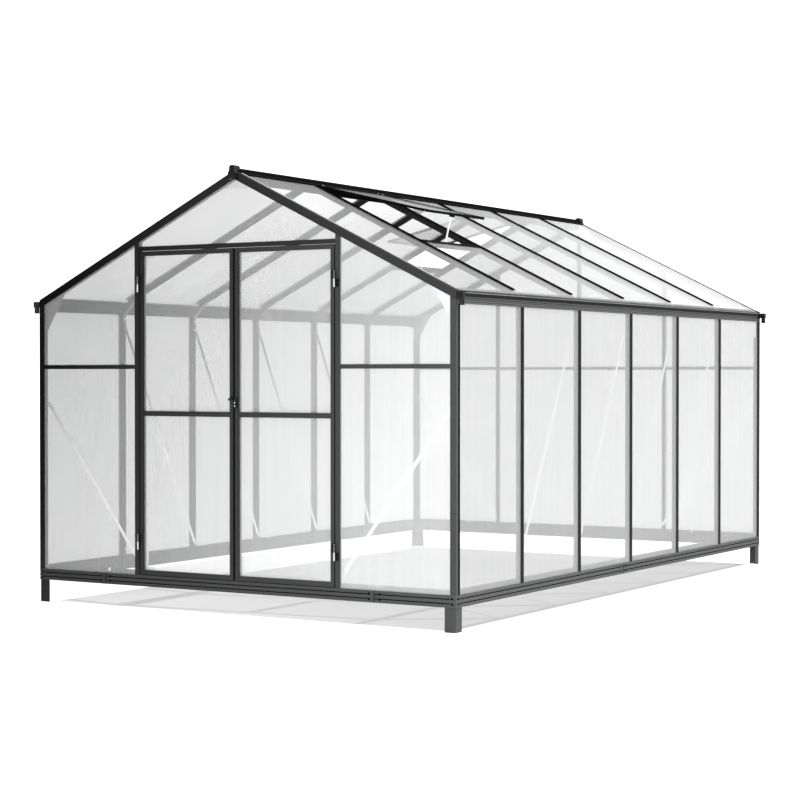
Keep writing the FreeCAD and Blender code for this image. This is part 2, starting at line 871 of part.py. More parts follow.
def build_rear_mid_rails():
    """Mid rails in the four bays of the rear gable."""
    body = new_body("rear_mid_rails")
    face = size.jamb_face / 2
    plates = []
    blocks = []
    bays = ((face, size.jamb_place - face), (size.jamb_place + face, half_width - size.post_front))
    for low, high in bays:
        plate, block = rail_outlines(low, high)
        plates += both_ways(plate)
        blocks += both_ways(block)
    gable_member(body, ENDS["rear"], plates, blocks)


# ---- glazing ----


def build_wall_panels():
    """Six panels in each side wall, their edges in the slots of bars, posts and rails."""
    low = web_top + size.glass_gap
    high = size.eave_height - size.gutter_drop - size.skin - size.glass_gap
    edge = size.neck / 2 + size.glass_gap
    end = half_length - size.post_core - size.glass_gap
    for side, sign in SIDES.items():
        body = new_body(f"wall_panels_{side}")
        faces = in_order([sign * (half_width - panel_near), sign * (half_width - panel_far)])
        outlines = []
        for number in range(BAYS):
            start = -end if number == 0 else bar_place(number) + edge
            stop = end if number == BAYS - 1 else bar_place(number + 1) - edge
            outlines.append(rectangle(start, stop, low, high))
        pad(body, "x", outlines, *faces)


def build_roof_panels():
    """Six panels on each slope; the one in the vent bay starts below the vent sill."""
    high = size.barrel_run + size.barrel_radius + size.glass_gap
    sill_end = size.vent_run + size.sill_face - size.rebate + size.glass_gap
    low = (half_width - size.roof_panel_back) * lean
    edge = size.neck / 2 + size.glass_gap
    end = half_length - size.post_core - size.glass_gap
    for side in SIDES:
        body = new_body(f"roof_panels_{side}")
        place_on_slope(body, side, as_expr(0), as_expr(0), as_expr(0), None)
        outlines = []
        for number in range(BAYS):
            start = -end if number == 0 else bar_place(number) + edge
            stop = end if number == BAYS - 1 else bar_place(number + 1) - edge
            top = sill_end if number == 1 else high
            outlines.append(rectangle(top, low, start, stop))
        pad(body, "z", outlines, -panel_far, -panel_near)


def gable_panel_pair(low_x, high_x):
    """Lower and upper gable panels between two uprights, below the rafter."""
    bottom = web_top + size.glass_gap
    under = (size.post_core + size.glass_gap) * lean
    rail_low = size.mid_rail - size.skin - size.glass_gap
    rail_high = size.mid_rail + size.skin + size.glass_gap
    lower = rectangle(low_x, high_x, bottom, rail_low)
    upper = [(low_x, rail_high), (high_x, rail_high)]
    upper += [(high_x, roof(high_x) - under), (low_x, roof(low_x) - under)]
    return both_ways(lower) + both_ways(upper)


def build_gable_panels():
    """Glazing of both gables, held behind the plates of the posts, rails and rafters."""
    gap = size.glass_gap
    outer = half_width - size.post_front + size.rebate
    front = new_body("front_panels")
    inner = size.jamb_place + size.jamb_face / 2 - size.rebate + gap
    places = [-(half_length - panel_near), -(half_length - panel_far)]
    outlines = gable_panel_pair(inner, outer)
    side = size.jamb_place - size.jamb_face / 2 - gap
    bottom = door_head + size.header_face - size.rebate + gap
    under = (size.post_core + gap) * lean
    above = [(-side, bottom), (side, bottom), (side, roof(side) - under)]
    above += [(0, size.ridge_height - under), (-side, roof(side) - under)]
    pad(front, "y", outlines + [above], *places)
    rear = new_body("rear_panels")
    edge = size.neck / 2 + gap
    outlines = gable_panel_pair(edge, size.jamb_place - edge)
    outlines += gable_panel_pair(size.jamb_place + edge, outer)
    pad(rear, "y", outlines, half_length - panel_far, half_length - panel_near)


# ---- bright braces, brackets and bolts ----


def strip(start, stop):
    """A sloping strip between two points, with level ends."""
    rise = stop[1] - start[1]
    run = stop[0] - start[0]
    half = size.brace_width / 2 * root_of((run * run) / (rise * rise) + 1)
    low = [(start[0] - half, start[1]), (start[0] + half, start[1])]
    return low + [(stop[0] + half, stop[1]), (stop[0] - half, stop[1])]


def build_braces():
    """Flat braces inside the side walls and in the outer bays of both gables."""
    face = half_width - size.bar_depth
    for side, sign in SIDES.items():
        body = new_body(f"wall_braces_{side}")
        strips = []
        for number in range(1, BAYS - 1):
            start = (sign * bar_place(number), size.brace_low)
            stop = (sign * bar_place(number + 1), size.brace_high)
            strips.append(strip(start, stop))
        faces = in_order([sign * face, sign * (face - size.brace_wall)])
        pad(body, "x", strips, *faces)
    body = new_body("gable_braces")
    face = half_length - size.bar_depth
    for sign in ENDS.values():
        start = (size.jamb_place, size.gable_brace_low)
        stop = (half_width - size.post_front, size.gable_brace_high)
        faces = in_order([sign * face, sign * (face - size.brace_wall)])
        pad(body, "y", both_ways(strip(start, stop)), *faces)


def build_knees():
    """Bent strips that tie each wall bar to the roof bar above it."""
    wall = size.knee_wall
    outer = half_width - size.eave_depth
    low = eave_bottom - size.knee_low / 2
    turn = eave_bottom
    reach = outer - size.knee_reach
    end = reach - size.knee_reach / 2
    under = size.bar_depth * lean
    outline = [(outer, low), (outer, turn), (reach, roof(reach) - under), (end, roof(end) - under)]
    inner = outer - wall
    drop = wall * lean
    outline += [(end, roof(end) - under - drop), (reach, roof(reach) - under - 2 * drop)]
    outline += [(inner, turn - wall), (inner, low)]
    for side, sign in SIDES.items():
        body = new_body(f"knee_brackets_{side}")
        first = bar_place(1)
        half = size.knee_width / 2
        knee = pad(body, "y", [mirrored(outline, sign)], first - half, first + half)
        repeat_along(body, knee, size.bay, size.bays - 1)


def build_gussets():
    """Three-cornered plates inside the gables, at the four eave corners and under both peaks."""
    body = new_body("gable_gussets")
    leg = size.gusset_leg
    outer = half_width - size.post_front
    low = size.eave_height - rafter_drop - leg
    depth = size.rafter_face / 2 * lean
    corner = [(outer, low), (outer + size.post_front / 2, low), (outer + size.post_front / 2, low + leg)]
    corner += [(outer, roof(outer) - depth), (outer - leg, roof(outer - leg) - depth)]
    corner += [(outer - leg, under_rafter(outer - leg))]
    wide = size.apex_leg
    peak = [(0, size.ridge_height - depth), (wide, roof(wide) - depth), (wide, under_rafter(wide))]
    peak += [(0, under_rafter(wide)), (-wide, under_rafter(wide)), (-wide, roof(wide) - depth)]
    face = half_length - size.bar_depth
    for sign in ENDS.values():
        faces = in_order([sign * face, sign * (face - size.gusset_wall)])
        pad(body, "y", both_ways(corner) + [peak], *faces)


def build_bolts():
    """Bolt heads inside the house: brace ends and knee brackets."""
    body = new_body("frame_bolts")
    radius = size.bolt_radius
    inset = size.brace_width
    for sign in SIDES.values():
        face = half_width - size.bar_depth - size.brace_wall
        heads = []
        for number in range(1, BAYS - 1):
            heads.append(Disc(sign * bar_place(number), size.brace_low + inset, radius))
            heads.append(Disc(sign * bar_place(number + 1), size.brace_high - inset, radius))
        faces = in_order([sign * face, sign * (face - size.bolt_head)])
        pad(body, "x", heads, *faces)
        face = half_width - size.eave_depth - size.knee_wall
        heads = [Disc(bar_place(n), eave_bottom - size.knee_low / 4, radius) for n in range(1, BAYS)]
        faces = in_order([sign * face, sign * (face - size.bolt_head)])
        pad(body, "x", heads, *faces)
    for sign in ENDS.values():
        face = half_length - size.bar_depth - size.brace_wall
        ends = [(size.jamb_place, size.gable_brace_low + inset)]
        ends += [(half_width - size.post_front, size.gable_brace_high - inset)]
        heads = [Disc(i * x, z, radius) for x, z in ends for i in (1, -1)]
        faces = in_order([sign * face, sign * (face - size.bolt_head)])
        pad(body, "y", heads, *faces)


# ---- doors ----


def door_edges():
    """Hinge side and lock side of the right door, measured from the middle of the doorway."""
    return hinge_axis_x - size.door_play, size.leaf_gap / 2


def build_door(side):
    """One door leaf: two slotted stiles, three slotted rails and two panels."""
    sign = SIDES[side]
    hinge_edge, lock_edge = door_edges()
    front = -half_length
    back = front + size.door_depth
    groove = front + size.door_groove
    groove_end = groove + size.slot
    deep = size.door_slot_depth
    stiles = new_body(f"{side}_door_stiles")
    inner = lock_edge + size.stile
    lock = [(lock_edge, front), (inner, front), (inner, groove), (inner - deep, groove)]
    lock += [(inner - deep, groove_end), (inner, groove_end), (inner, back), (lock_edge, back)]
    outer = hinge_edge - size.stile
    hinge = [(hinge_edge, front), (outer, front), (outer, groove), (outer + deep, groove)]
    hinge += [(outer + deep, groove_end), (outer, groove_end), (outer, back), (hinge_edge, back)]
    pad(stiles, "z", [mirrored(lock, sign), mirrored(hinge, sign)], door_bottom, door_top)
    rails = new_body(f"{side}_door_rails")
    rail = size.door_rail
    bottom = [(front, door_bottom), (front, door_bottom + rail), (groove, door_bottom + rail)]
    bottom += [(groove, door_bottom + rail - deep), (groove_end, door_bottom + rail - deep)]
    bottom += [(groove_end, door_bottom + rail), (back, door_bottom + rail), (back, door_bottom)]
    top = [(front, door_top), (front, door_top - rail), (groove, door_top - rail)]
    top += [(groove, door_top - rail + deep), (groove_end, door_top - rail + deep)]
    top += [(groove_end, door_top - rail), (back, door_top - rail), (back, door_top)]
    low = size.door_mid - size.stile / 2
    high = size.door_mid + size.stile / 2
    middle = [(front, low), (groove, low), (groove, low + deep), (groove_end, low + deep), (groove_end, low)]
    middle += [(back, low), (back, high), (groove_end, high), (groove_end, high - deep)]
    middle += [(groove, high - deep), (groove, high), (front, high)]
    span = in_order([sign * inner, sign * outer])
    pad(rails, "x", [bottom, top, middle], *span)
    panels = new_body(f"{side}_door_panels")
    bite = deep - size.glass_gap
    edges = in_order([sign * (inner - bite), sign * (outer + bite)])
    spans = ((door_bottom + rail - bite, low + bite), (high - bite, door_top - rail + bite))
    near = groove + (size.slot - size.panel_wall) / 2
    pad(panels, "y", [rectangle(*edges, start, stop) for start, stop in spans], near, near + size.panel_wall)


def hinge_places():
    """Heights of the middles of the hinges of a door."""
    return [door_bottom + size.hinge_inset, door_top - size.hinge_inset]


def build_hinges():
    """Fixed hinge leaves with their pins, and the moving leaves on each door."""
    fixed = new_body("hinge_fixed_leaves")
    half = size.hinge_height / 2
    wall = size.leaf_wall
    face = -half_length
    axis = hinge_axis_x
    web = size.knuckle_radius
    fixed_leaf = [(axis, hinge_axis_y), (axis + web, hinge_axis_y), (axis + web, face - wall)]
    fixed_leaf += [(axis + size.hinge_leaf, face - wall), (axis + size.hinge_leaf, face), (axis, face)]
    moving_leaf = [(axis, hinge_axis_y), (axis - web, hinge_axis_y), (axis - web, face - wall)]
    moving_leaf += [(axis - size.hinge_leaf, face - wall), (axis - size.hinge_leaf, face), (axis, face)]
    knuckles = [Disc(i * axis, hinge_axis_y, size.knuckle_radius) for i in (1, -1)]
    pins = [Disc(i * axis, hinge_axis_y, size.pin_radius) for i in (1, -1)]
    for middle in hinge_places():
        pad(fixed, "z", both_ways(fixed_leaf), middle - half, middle - size.knuckle_gap)
        pad(fixed, "z", knuckles, middle - half, middle - size.knuckle_gap)
        pad(fixed, "z", pins, middle - half, middle + half)
    for side, sign in SIDES.items():
        moving = new_body(f"{side}_door_hinges")
        disc = Disc(sign * axis, hinge_axis_y, size.knuckle_radius)
        bore = Disc(sign * axis, hinge_axis_y, size.pin_radius + size.pin_gap)
        for middle in hinge_places():
            pad(moving, "z", [mirrored(moving_leaf, sign)], middle, middle + half)
            pad(moving, "z", [disc], middle, middle + half)
            cut(moving, "z", [bore], middle - size.overcut, middle + half + size.overcut)


def build_latch():
    """Latch: base plate with pivot on the right door, hanging lever, and keeper on the left door."""
    face = -half_length
    lock_edge = door_edges()[1]
    middle = lock_edge + size.stile / 2
    pivot = size.latch_height
    plate = new_body("latch_plate")
    half = size.latch_plate / 2
    low = pivot - size.latch_plate_drop
    outline = rectangle(middle - half, middle + half, low, low + size.latch_plate_height)
    wall = size.leaf_wall
    pad(plate, "y", [outline], face - wall, face)
    boss = face - wall - size.pin_radius
    pad(plate, "y", [Disc(middle, pivot, size.boss_radius)], boss, face)
    hub_back = boss - size.bead_gap
    hub_front = hub_back - size.hub_height
    pad(plate, "y", [Disc(middle, pivot, size.pin_radius)], hub_front + size.pin_sink, face)
    lever = new_body("latch_lever")
    pad(lever, "y", [Disc(middle, pivot, size.hub_radius)], hub_front, hub_back)
    arm = size.lever_width / 2
    bar = rectangle(middle - arm, middle + arm, pivot - size.lever_length, pivot)
    pad(lever, "y", [bar], hub_front, hub_front + size.lever_wall)
    bore = Disc(middle, pivot, size.pin_radius + size.pin_gap)
    cut(lever, "y", [bore], hub_front - size.overcut, hub_back + size.overcut)
    keeper = new_body("latch_keeper")
    inner = -middle - half
    outer = -middle + half
    stop = pivot + arm + size.keeper_gap
    back = rectangle(inner, outer, pivot - arm - size.keeper_gap, stop + size.keeper_leg)
    pad(keeper, "y", [back], face - wall, face)
    lip_back = hub_front - size.keeper_gap
    lip_front = lip_back - wall
    pad(keeper, "y", [rectangle(inner, outer, stop, stop + wall)], lip_front, face)
    pad(keeper, "y", [rectangle(inner, outer, pivot - size.keeper_lip, stop + wall)], lip_front, lip_back)


# ---- roof vents ----


def vent_place():
    """Place along Y of the middle of the right slope's vent bay."""
    return bar_place(1) + size.bay / 2


def place_vent(body, side):
    """Put a body on the line of the sash hinge, at the angle of the open sash."""
    place_on_slope(body, side, vent_place(), size.barrel_run, -size.skin, size.vent_open)


def build_vent(side):
    """One roof vent: sill with peg, sash of four bars, its panel and the stay that props it open."""
    half_bay = size.bay / 2
    run_end = size.vent_run - size.barrel_run - size.leaf_wall
    half = half_bay - size.bar_face / 2 - size.sash_gap
    lift = size.skin + size.leaf_wall
    bottom = lift - size.sash_depth
    bar = size.sash_bar
    start = size.barrel_radius + size.leaf_wall + size.door_play
    slot_low = -size.skin
    slot_high = slot_low + size.slot
    deep = size.door_slot_depth
    hook = start + bar
    tail = run_end - bar
    sash = new_body(f"vent_sash_{side}")
    place_vent(sash, side)
    top_bar = [(start, bottom), (hook, bottom), (hook, slot_low), (hook - deep, slot_low)]
    top_bar += [(hook - deep, slot_high), (hook, slot_high), (hook, lift), (start, lift)]
    low_bar = [(run_end, bottom), (tail, bottom), (tail, slot_low), (tail + deep, slot_low)]
    low_bar += [(tail + deep, slot_high), (tail, slot_high), (tail, lift), (run_end, lift)]
    pad(sash, "y", [top_bar, low_bar], -half, half)
    leaf = size.leaf_wall / 2
    pad(sash, "y", [rectangle(0, start, -leaf, leaf)], -half, half)
    pad(sash, "y", [Disc(0, 0, size.bead_radius)], -half, half)
    side_bar = [(half, bottom), (half, lift), (half - bar, lift), (half - bar, slot_high)]
    side_bar += [(half - bar + deep, slot_high), (half - bar + deep, slot_low), (half - bar, slot_low)]
    side_bar += [(half - bar, bottom)]
    pad(sash, "x", both_ways(side_bar), hook, tail)
    pivot = vent_pivot
    ear = size.stay_width / 2 + size.stay_play
    lug = rectangle(pivot - size.leaf_wall, tail, bottom - size.leaf_wall, bottom)
    tongue = tail + size.lug_tongue
    ear_bottom = -size.stay_drop - size.lug_reach
    for low, high in ((-ear - size.leaf_wall, -ear), (ear, ear + size.leaf_wall)):
        pad(sash, "y", [rectangle(pivot - size.lug_reach, tongue, ear_bottom, bottom)], low, high)
    pad(sash, "y", [lug], -ear - size.leaf_wall, ear + size.leaf_wall)
    pad(sash, "y", [rectangle(tail, tongue, bottom - size.leaf_wall, bottom)], -ear, ear)
    pad(sash, "y", [Disc(pivot, -size.stay_drop, size.stay_pin)], -ear, ear)
    panel = new_body(f"vent_panel_{side}")
    place_vent(panel, side)
    bite = deep - size.glass_gap
    near = slot_low + (size.slot - size.panel_wall) / 2
    edge = half - bar + bite
    pad(panel, "z", [rectangle(hook - bite, tail + bite, -edge, edge)], near, near + size.panel_wall)
    stay = new_body(f"vent_stay_{side}")
    place_vent(stay, side)
    thin = size.stay_wall / 2
    wide = size.stay_width / 2
    outline = rectangle(-wide, wide, -stay_fall - wide, -size.stay_drop + thin)
    pad(stay, "x", [outline], pivot - thin, pivot + thin)
    pad(stay, "y", [Disc(pivot, -size.stay_drop, size.stay_barrel)], -wide, wide)
    bore = Disc(pivot, -size.stay_drop, size.stay_pin + size.pin_gap)
    cut(stay, "y", [bore], -wide - size.overcut, wide + size.overcut)
    pitch = (stay_fall - size.stay_drop) / size.stay_steps
    holes = [Disc(0, step * pitch - stay_fall, size.stay_hole) for step in range(STEPS - 1)]
    cut(stay, "x", holes, pivot - thin - size.overcut, pivot + thin + size.overcut)
    build_sill(side)


def build_sill(side):
    """Crosspiece below a vent: it seats the shut sash, holds the panel below and carries the stay's peg."""
    body = new_body(f"vent_sill_{side}")
    place_on_slope(body, side, vent_place(), as_expr(0), as_expr(0), None)
    half = size.bay / 2 - size.neck / 2 - size.glass_gap
    narrow = size.bay / 2 - size.bar_face / 2 - size.glass_gap
    run = size.vent_run
    end = run + size.sill_face
    bottom = -size.bar_depth
    top = rectangle(run, end, -size.skin, 0)
    pad(body, "y", [top], -narrow, narrow)
    pad(body, "y", [rectangle(run, end - size.rebate, -slot_far, -size.skin)], -half, half)
    block_half = size.bay / 2 - size.bar_body / 2 - size.glass_gap
    pad(body, "y", [rectangle(run, end - size.rebate, bottom, -slot_far)], -block_half, block_half)
    peg_run = size.barrel_run + vent_pivot * cosine(size.vent_open) + stay_fall * sine(size.vent_open)
    tip = peg_run + size.stay_wall / 2 + size.peg_gap
    seat_level = -size.skin - (size.sash_depth - size.skin - size.leaf_wall) - size.glass_gap
    seat = rectangle(run - size.seat_reach, run, seat_level - size.leaf_wall, seat_level)
    pad(body, "y", [seat], -block_half, -size.seat_clear)
    pad(body, "y", [seat], size.seat_clear, block_half)
    pad(body, "x", [Disc(0, -size.peg_drop, size.peg_radius)], tip, run)


# ---- whole house ----


def build_house():
    """Build every sub-part."""
    build_feet()
    build_base()
    build_base_splices()
    build_base_screws()
    build_corner_posts()
    build_wall_bars()
    build_roof_bars()
    build_rafters()
    build_ridge()
    build_ridge_caps()
    build_eaves()
    build_outlets()
    build_jambs()
    build_header()
    build_front_mid_rails()
    build_rear_posts()
    build_rear_mid_rails()
    build_wall_panels()
    build_roof_panels()
    build_gable_panels()
    build_braces()
    build_knees()
    build_gussets()
    build_bolts()
    for side in SIDES:
        build_door(side)
    build_hinges()
    build_latch()
    for side in SIDES:
        build_vent(side)


def check_document():
    """Stop if any object failed or any sub-part is empty or not valid."""
    for part in doc.Objects:
        if {"Invalid", "Error"} & set(part.State):
            raise ValueError(f"{part.Label} failed: {part.State}")
    for node in nodes:
        shape = node.Shape
        if shape.isNull() or not shape.isValid() or not shape.Solids:
            raise ValueError(f"{node.Label} has no valid solid")


def write_parts():
    """Write each sub-part to its own STEP file."""
    os.makedirs("parts", exist_ok=True)
    for node in nodes:
        node.Shape.exportStep(f"parts/{node.Label}.step")
        print(node.Label, len(node.Shape.Solids), round(node.Shape.Volume))


build_sheet()
build_house()
doc.recompute()
check_document()
write_parts()
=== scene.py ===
"""Finishes, trims, fixings, camera and soft light for the walk-in greenhouse."""
import json
import logging
import math
from dataclasses import dataclass, field
from enum import Enum
from typing import Any, Callable, Dict, Iterable, List, Sequence, Tuple, Union

import bpy
from mathutils import Matrix, Vector


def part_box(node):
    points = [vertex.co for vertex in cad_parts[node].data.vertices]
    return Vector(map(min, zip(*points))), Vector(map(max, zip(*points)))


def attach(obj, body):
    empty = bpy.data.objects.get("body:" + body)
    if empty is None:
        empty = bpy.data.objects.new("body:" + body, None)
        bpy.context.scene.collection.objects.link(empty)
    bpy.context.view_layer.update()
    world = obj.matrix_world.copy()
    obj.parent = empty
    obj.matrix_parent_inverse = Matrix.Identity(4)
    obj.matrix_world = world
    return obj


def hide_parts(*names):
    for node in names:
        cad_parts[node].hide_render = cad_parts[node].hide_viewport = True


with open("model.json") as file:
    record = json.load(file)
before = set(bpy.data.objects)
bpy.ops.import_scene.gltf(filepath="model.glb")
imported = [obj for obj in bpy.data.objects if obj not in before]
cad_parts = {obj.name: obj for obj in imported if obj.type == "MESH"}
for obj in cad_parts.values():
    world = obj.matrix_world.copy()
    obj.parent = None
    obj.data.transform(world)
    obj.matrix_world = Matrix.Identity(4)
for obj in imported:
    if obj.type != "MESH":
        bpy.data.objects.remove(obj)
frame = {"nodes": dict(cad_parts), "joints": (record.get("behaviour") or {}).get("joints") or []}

LOG = logging.getLogger("greenhouse")
Colour = Tuple[float, float, float]
Number = Union[float, "Signal"]


class Side(Enum):
    """The two long sides of the house, by the sign of X."""

    RIGHT = 1
    LEFT = -1

    @property
    def label(self) -> str:
        """The word used in the names of sub-parts."""
        return self.name.lower()

    def half_turn(self) -> Matrix:
        """Turn about the upright axis that takes the right side to this one."""
        return Matrix.Rotation(math.pi if self is Side.LEFT else 0.0, 4, "Z")


class End(Enum):
    """The two gables, by the sign of Y."""

    FRONT = -1
    REAR = 1


class Slot(Enum):
    """Slots of the pieces that are modelled here."""

    BRIGHT_METAL = "bright_metal"
    FASTENER = "fastener"
    FRAME_PAINT = "frame_paint"
    BLACK_PLASTIC = "black_plastic"


class Run(Enum):
    """Axis across which the flutes of a sheet are counted."""

    ALONG_HOUSE = "Y"
    ACROSS_HOUSE = "X"


class Weather(Enum):
    """Which way a sheet's painted light and shade runs: across the house, or along it and down
    towards the eaves.
    """

    ACROSS = "across"
    ALONG = "along"


class Facing(Enum):
    """Which way the head of a fixing points."""

    OUT_X = (0.0, 90.0)
    IN_X = (0.0, -90.0)
    OUT_Y = (-90.0, 0.0)
    IN_Y = (90.0, 0.0)

    def turn(self) -> Matrix:
        """Rotation that takes +Z to the head's direction."""
        about_x, about_y = self.value
        tip = Matrix.Rotation(math.radians(about_x), 4, "X")
        return Matrix.Rotation(math.radians(about_y), 4, "Y") @ tip


# ---- shader maths ----


class Signal:
    """A node's output that can be used in Python expressions."""

    def __init__(self, graph: "Graph", socket: Any) -> None:
        """Keep the graph and the output socket."""
        self.graph = graph
        self.socket = socket

    def _math(self, operation: str, first: Number, second: Number) -> "Signal":
        """One Math node."""
        return self.graph.node("ShaderNodeMath", {"operation": operation}, {0: first, 1: second})

    def __add__(self, other: Number) -> "Signal":
        """self + other."""
        return self._math("ADD", self, other)

    def __radd__(self, other: Number) -> "Signal":
        """other + self."""
        return self._math("ADD", other, self)

    def __sub__(self, other: Number) -> "Signal":
        """self - other."""
        return self._math("SUBTRACT", self, other)

    def __rsub__(self, other: Number) -> "Signal":
        """other - self."""
        return self._math("SUBTRACT", other, self)

    def __mul__(self, other: Number) -> "Signal":
        """self * other."""
        return self._math("MULTIPLY", self, other)

    def __rmul__(self, other: Number) -> "Signal":
        """other * self."""
        return self._math("MULTIPLY", other, self)

    def __truediv__(self, other: Number) -> "Signal":
        """self / other."""
        return self._math("DIVIDE", self, other)

    def __pow__(self, other: Number) -> "Signal":
        """self to the power of other."""
        return self._math("POWER", self, other)

    def sine(self) -> "Signal":
        """Sine of the signal, in radians."""
        return self._math("SINE", self, 0.0)

    def clamp(self, low: float, high: float) -> "Signal":
        """The signal held between two values.

        Args:
            low: lowest value.
            high: highest value.

        Returns:
            The held signal.
        """
        return self.graph.node("ShaderNodeClamp", {}, {"Value": self, "Min": low, "Max": high})


class Graph:
    """Adds nodes to one node tree."""

    def __init__(self, tree: bpy.types.NodeTree) -> None:
        """Start from an empty tree."""
        self.tree = tree
        tree.nodes.clear()

    def node(
        self,
        kind: str,
        settings: Dict[str, Any],
        inputs: Dict[Union[int, str], Any],
        output: Union[int, str] = 0,
    ) -> Signal:
        """Add a node, set its options, then its sockets.

        Args:
            kind: Blender's name for the node type.
            settings: options of the node; "stops" is a list of (place, grey) for a ramp.
            inputs: socket name or number to a value or a Signal.
            output: which output to return.

        Returns:
            The chosen output.
        """
        made = self.tree.nodes.new(kind)
        for key, value in settings.items():
            if key == "stops":
                self._stops(made.color_ramp, value)
            else:
                setattr(made, key, value)
        for key, value in inputs.items():
            if isinstance(value, Signal):
                self.tree.links.new(value.socket, made.inputs[key])
            else:
                made.inputs[key].default_value = value
        return Signal(self, made.outputs[output] if len(made.outputs) else None)

    def _stops(self, ramp: bpy.types.ColorRamp, stops: Sequence[Tuple[float, float]]) -> None:
        """Set the stops of a ramp to greys.

        Args:
            ramp: the ramp to change.
            stops: place and grey of each stop.
        """
        while len(ramp.elements) > 1:
            ramp.elements.remove(ramp.elements[-1])
        for number, (place, grey) in enumerate(stops):
            stop = ramp.elements[0] if number == 0 else ramp.elements.new(place)
            stop.position = place
            stop.color = (grey, grey, grey, 1.0)

    def place(self, stretch: Colour) -> Signal:
        """Object coordinates, stretched.

        Args:
            stretch: factor along each axis.

        Returns:
            The coordinates as a vector.
        """
        spot = self.node("ShaderNodeTexCoord", {}, {}, "Object")
        return self.node("ShaderNodeMapping", {}, {"Vector": spot, "Scale": stretch})

    def axis(self, letter: str) -> Signal:
        """One object coordinate, in metres."""
        spot = self.node("ShaderNodeTexCoord", {}, {}, "Object")
        return self.node("ShaderNodeSeparateXYZ", {}, {"Vector": spot}, letter)

    def noise(self, stretch: Colour, scale: float, detail: float = 3.0) -> Signal:
        """Smooth noise between 0 and 1.

        Args:
            stretch: factor along each axis before the noise.
            scale: the noise's own scale.
            detail: octaves.

        Returns:
            The noise.
        """
        inputs = {"Vector": self.place(stretch), "Scale": scale, "Detail": detail}
        output = "Factor" if bpy.app.version >= (5, 0, 0) else 0
        return self.node("ShaderNodeTexNoise", {}, inputs, output)

    def blend(self, amount: Number, first: Any, second: Any) -> Signal:
        """Blend two colours.

        Args:
            amount: share of the second.
            first: the colour at 0.
            second: the colour at 1.

        Returns:
            The blended colour.
        """
        inputs = {0: amount, 6: first, 7: second}
        return self.node("ShaderNodeMix", {"data_type": "RGBA"}, inputs, 2)

    def tint(self, amount: Number, dark: Colour, light: Colour) -> Signal:
        """Blend two colours.

        Args:
            amount: 0 for dark, 1 for light.
            dark: the first colour.
            light: the second colour.

        Returns:
            The blended colour.
        """
        inputs = {0: amount, 6: (*dark, 1.0), 7: (*light, 1.0)}
        return self.node("ShaderNodeMix", {"data_type": "RGBA"}, inputs, 2)

    def bump(self, height: Signal, strength: float, distance: float) -> Signal:
        """Turn a height into a normal."""
        inputs = {"Height": height, "Strength": strength, "Distance": distance}
        return self.node("ShaderNodeBump", {}, inputs)

    def shade(self, inputs: Dict[str, Any]) -> None:
        """Join a Principled shader to the output."""
        shader = self.node("ShaderNodeBsdfPrincipled", {}, inputs)
        self.node("ShaderNodeOutputMaterial", {}, {"Surface": shader})


# ---- finishes ----


def new_material(name: str) -> Tuple[bpy.types.Material, Graph]:
    """Make an empty material.

    Args:
        name: its name.

    Returns:
        The material and a graph on its tree.
    """
    made = bpy.data.materials.new(name)
    made.use_nodes = True
    return made, Graph(made.node_tree)


@dataclass(frozen=True)
class PowderCoat:
    """Satin powder coat: fine orange peel, drawing lines, dust and painted floor light low down,
    painted light and shade across the house.
    """

    name: str
    base: float = 0.085
    shaded: float = 0.012
    shine: float = 0.50
    gloss_level: float = 0.12
    peel: float = 0.0005
    dust: float = 0.020

    def layer(self, graph: Graph, tone: Signal, grey: float) -> Signal:
        """The coat at one strength.

        Args:
            graph: the material's graph.
            tone: where the coat is darker or lighter, 0 to 1.
            grey: the coat's middle grey.

        Returns:
            The colour.
        """
        dark = (grey * 0.84, grey * 0.85, grey * 0.87)
        light = (grey * 1.15, grey * 1.16, grey * 1.18)
        return graph.tint(tone, dark, light)

    def material(self) -> bpy.types.Material:
        """Build the material.

        Returns:
            The material.
        """
        made, graph = new_material(self.name)
        cloud = graph.noise((1.0, 1.0, 1.0), 2.3)
        grain = graph.noise((1.0, 1.0, 1.0), 240.0, 2.0)
        drawn = graph.noise((55.0, 55.0, 0.9), 3.0)
        # Lighter towards the bottom: part dust, part painted light from the floor.
        low = (1.0 - graph.axis("Z") * 2.6).clamp(0.0, 1.0)
        low_dust_and_light = low * graph.noise((6.0, 6.0, 14.0), 2.0, 5.0)
        tone = cloud * 0.35 + grain * 0.25 + drawn * 0.40
        # Painted light and shade: lighter towards +X, a little darker higher up.
        painted_light = (graph.axis("X") * 0.42 + 0.58 - graph.axis("Z") * 0.10).clamp(0.0, 1.0)
        shaded = self.layer(graph, tone, self.shaded)
        paint = graph.blend(painted_light, shaded, self.layer(graph, tone, self.base))
        film = (self.base + self.dust,) * 3
        coat = graph.blend(low_dust_and_light * 0.35, paint, (*film, 1.0))
        rough = self.shine + drawn * 0.10 + low_dust_and_light * 0.15
        peel = graph.noise((1.0, 1.0, 1.0), 520.0, 1.0) + drawn * 0.35
        normal = graph.bump(peel, 0.2, self.peel)
        inputs = {
            "Base Color": coat,
            "Roughness": rough,
            "Normal": normal,
            "Specular IOR Level": self.gloss_level,
        }
        graph.shade(inputs)
        return made


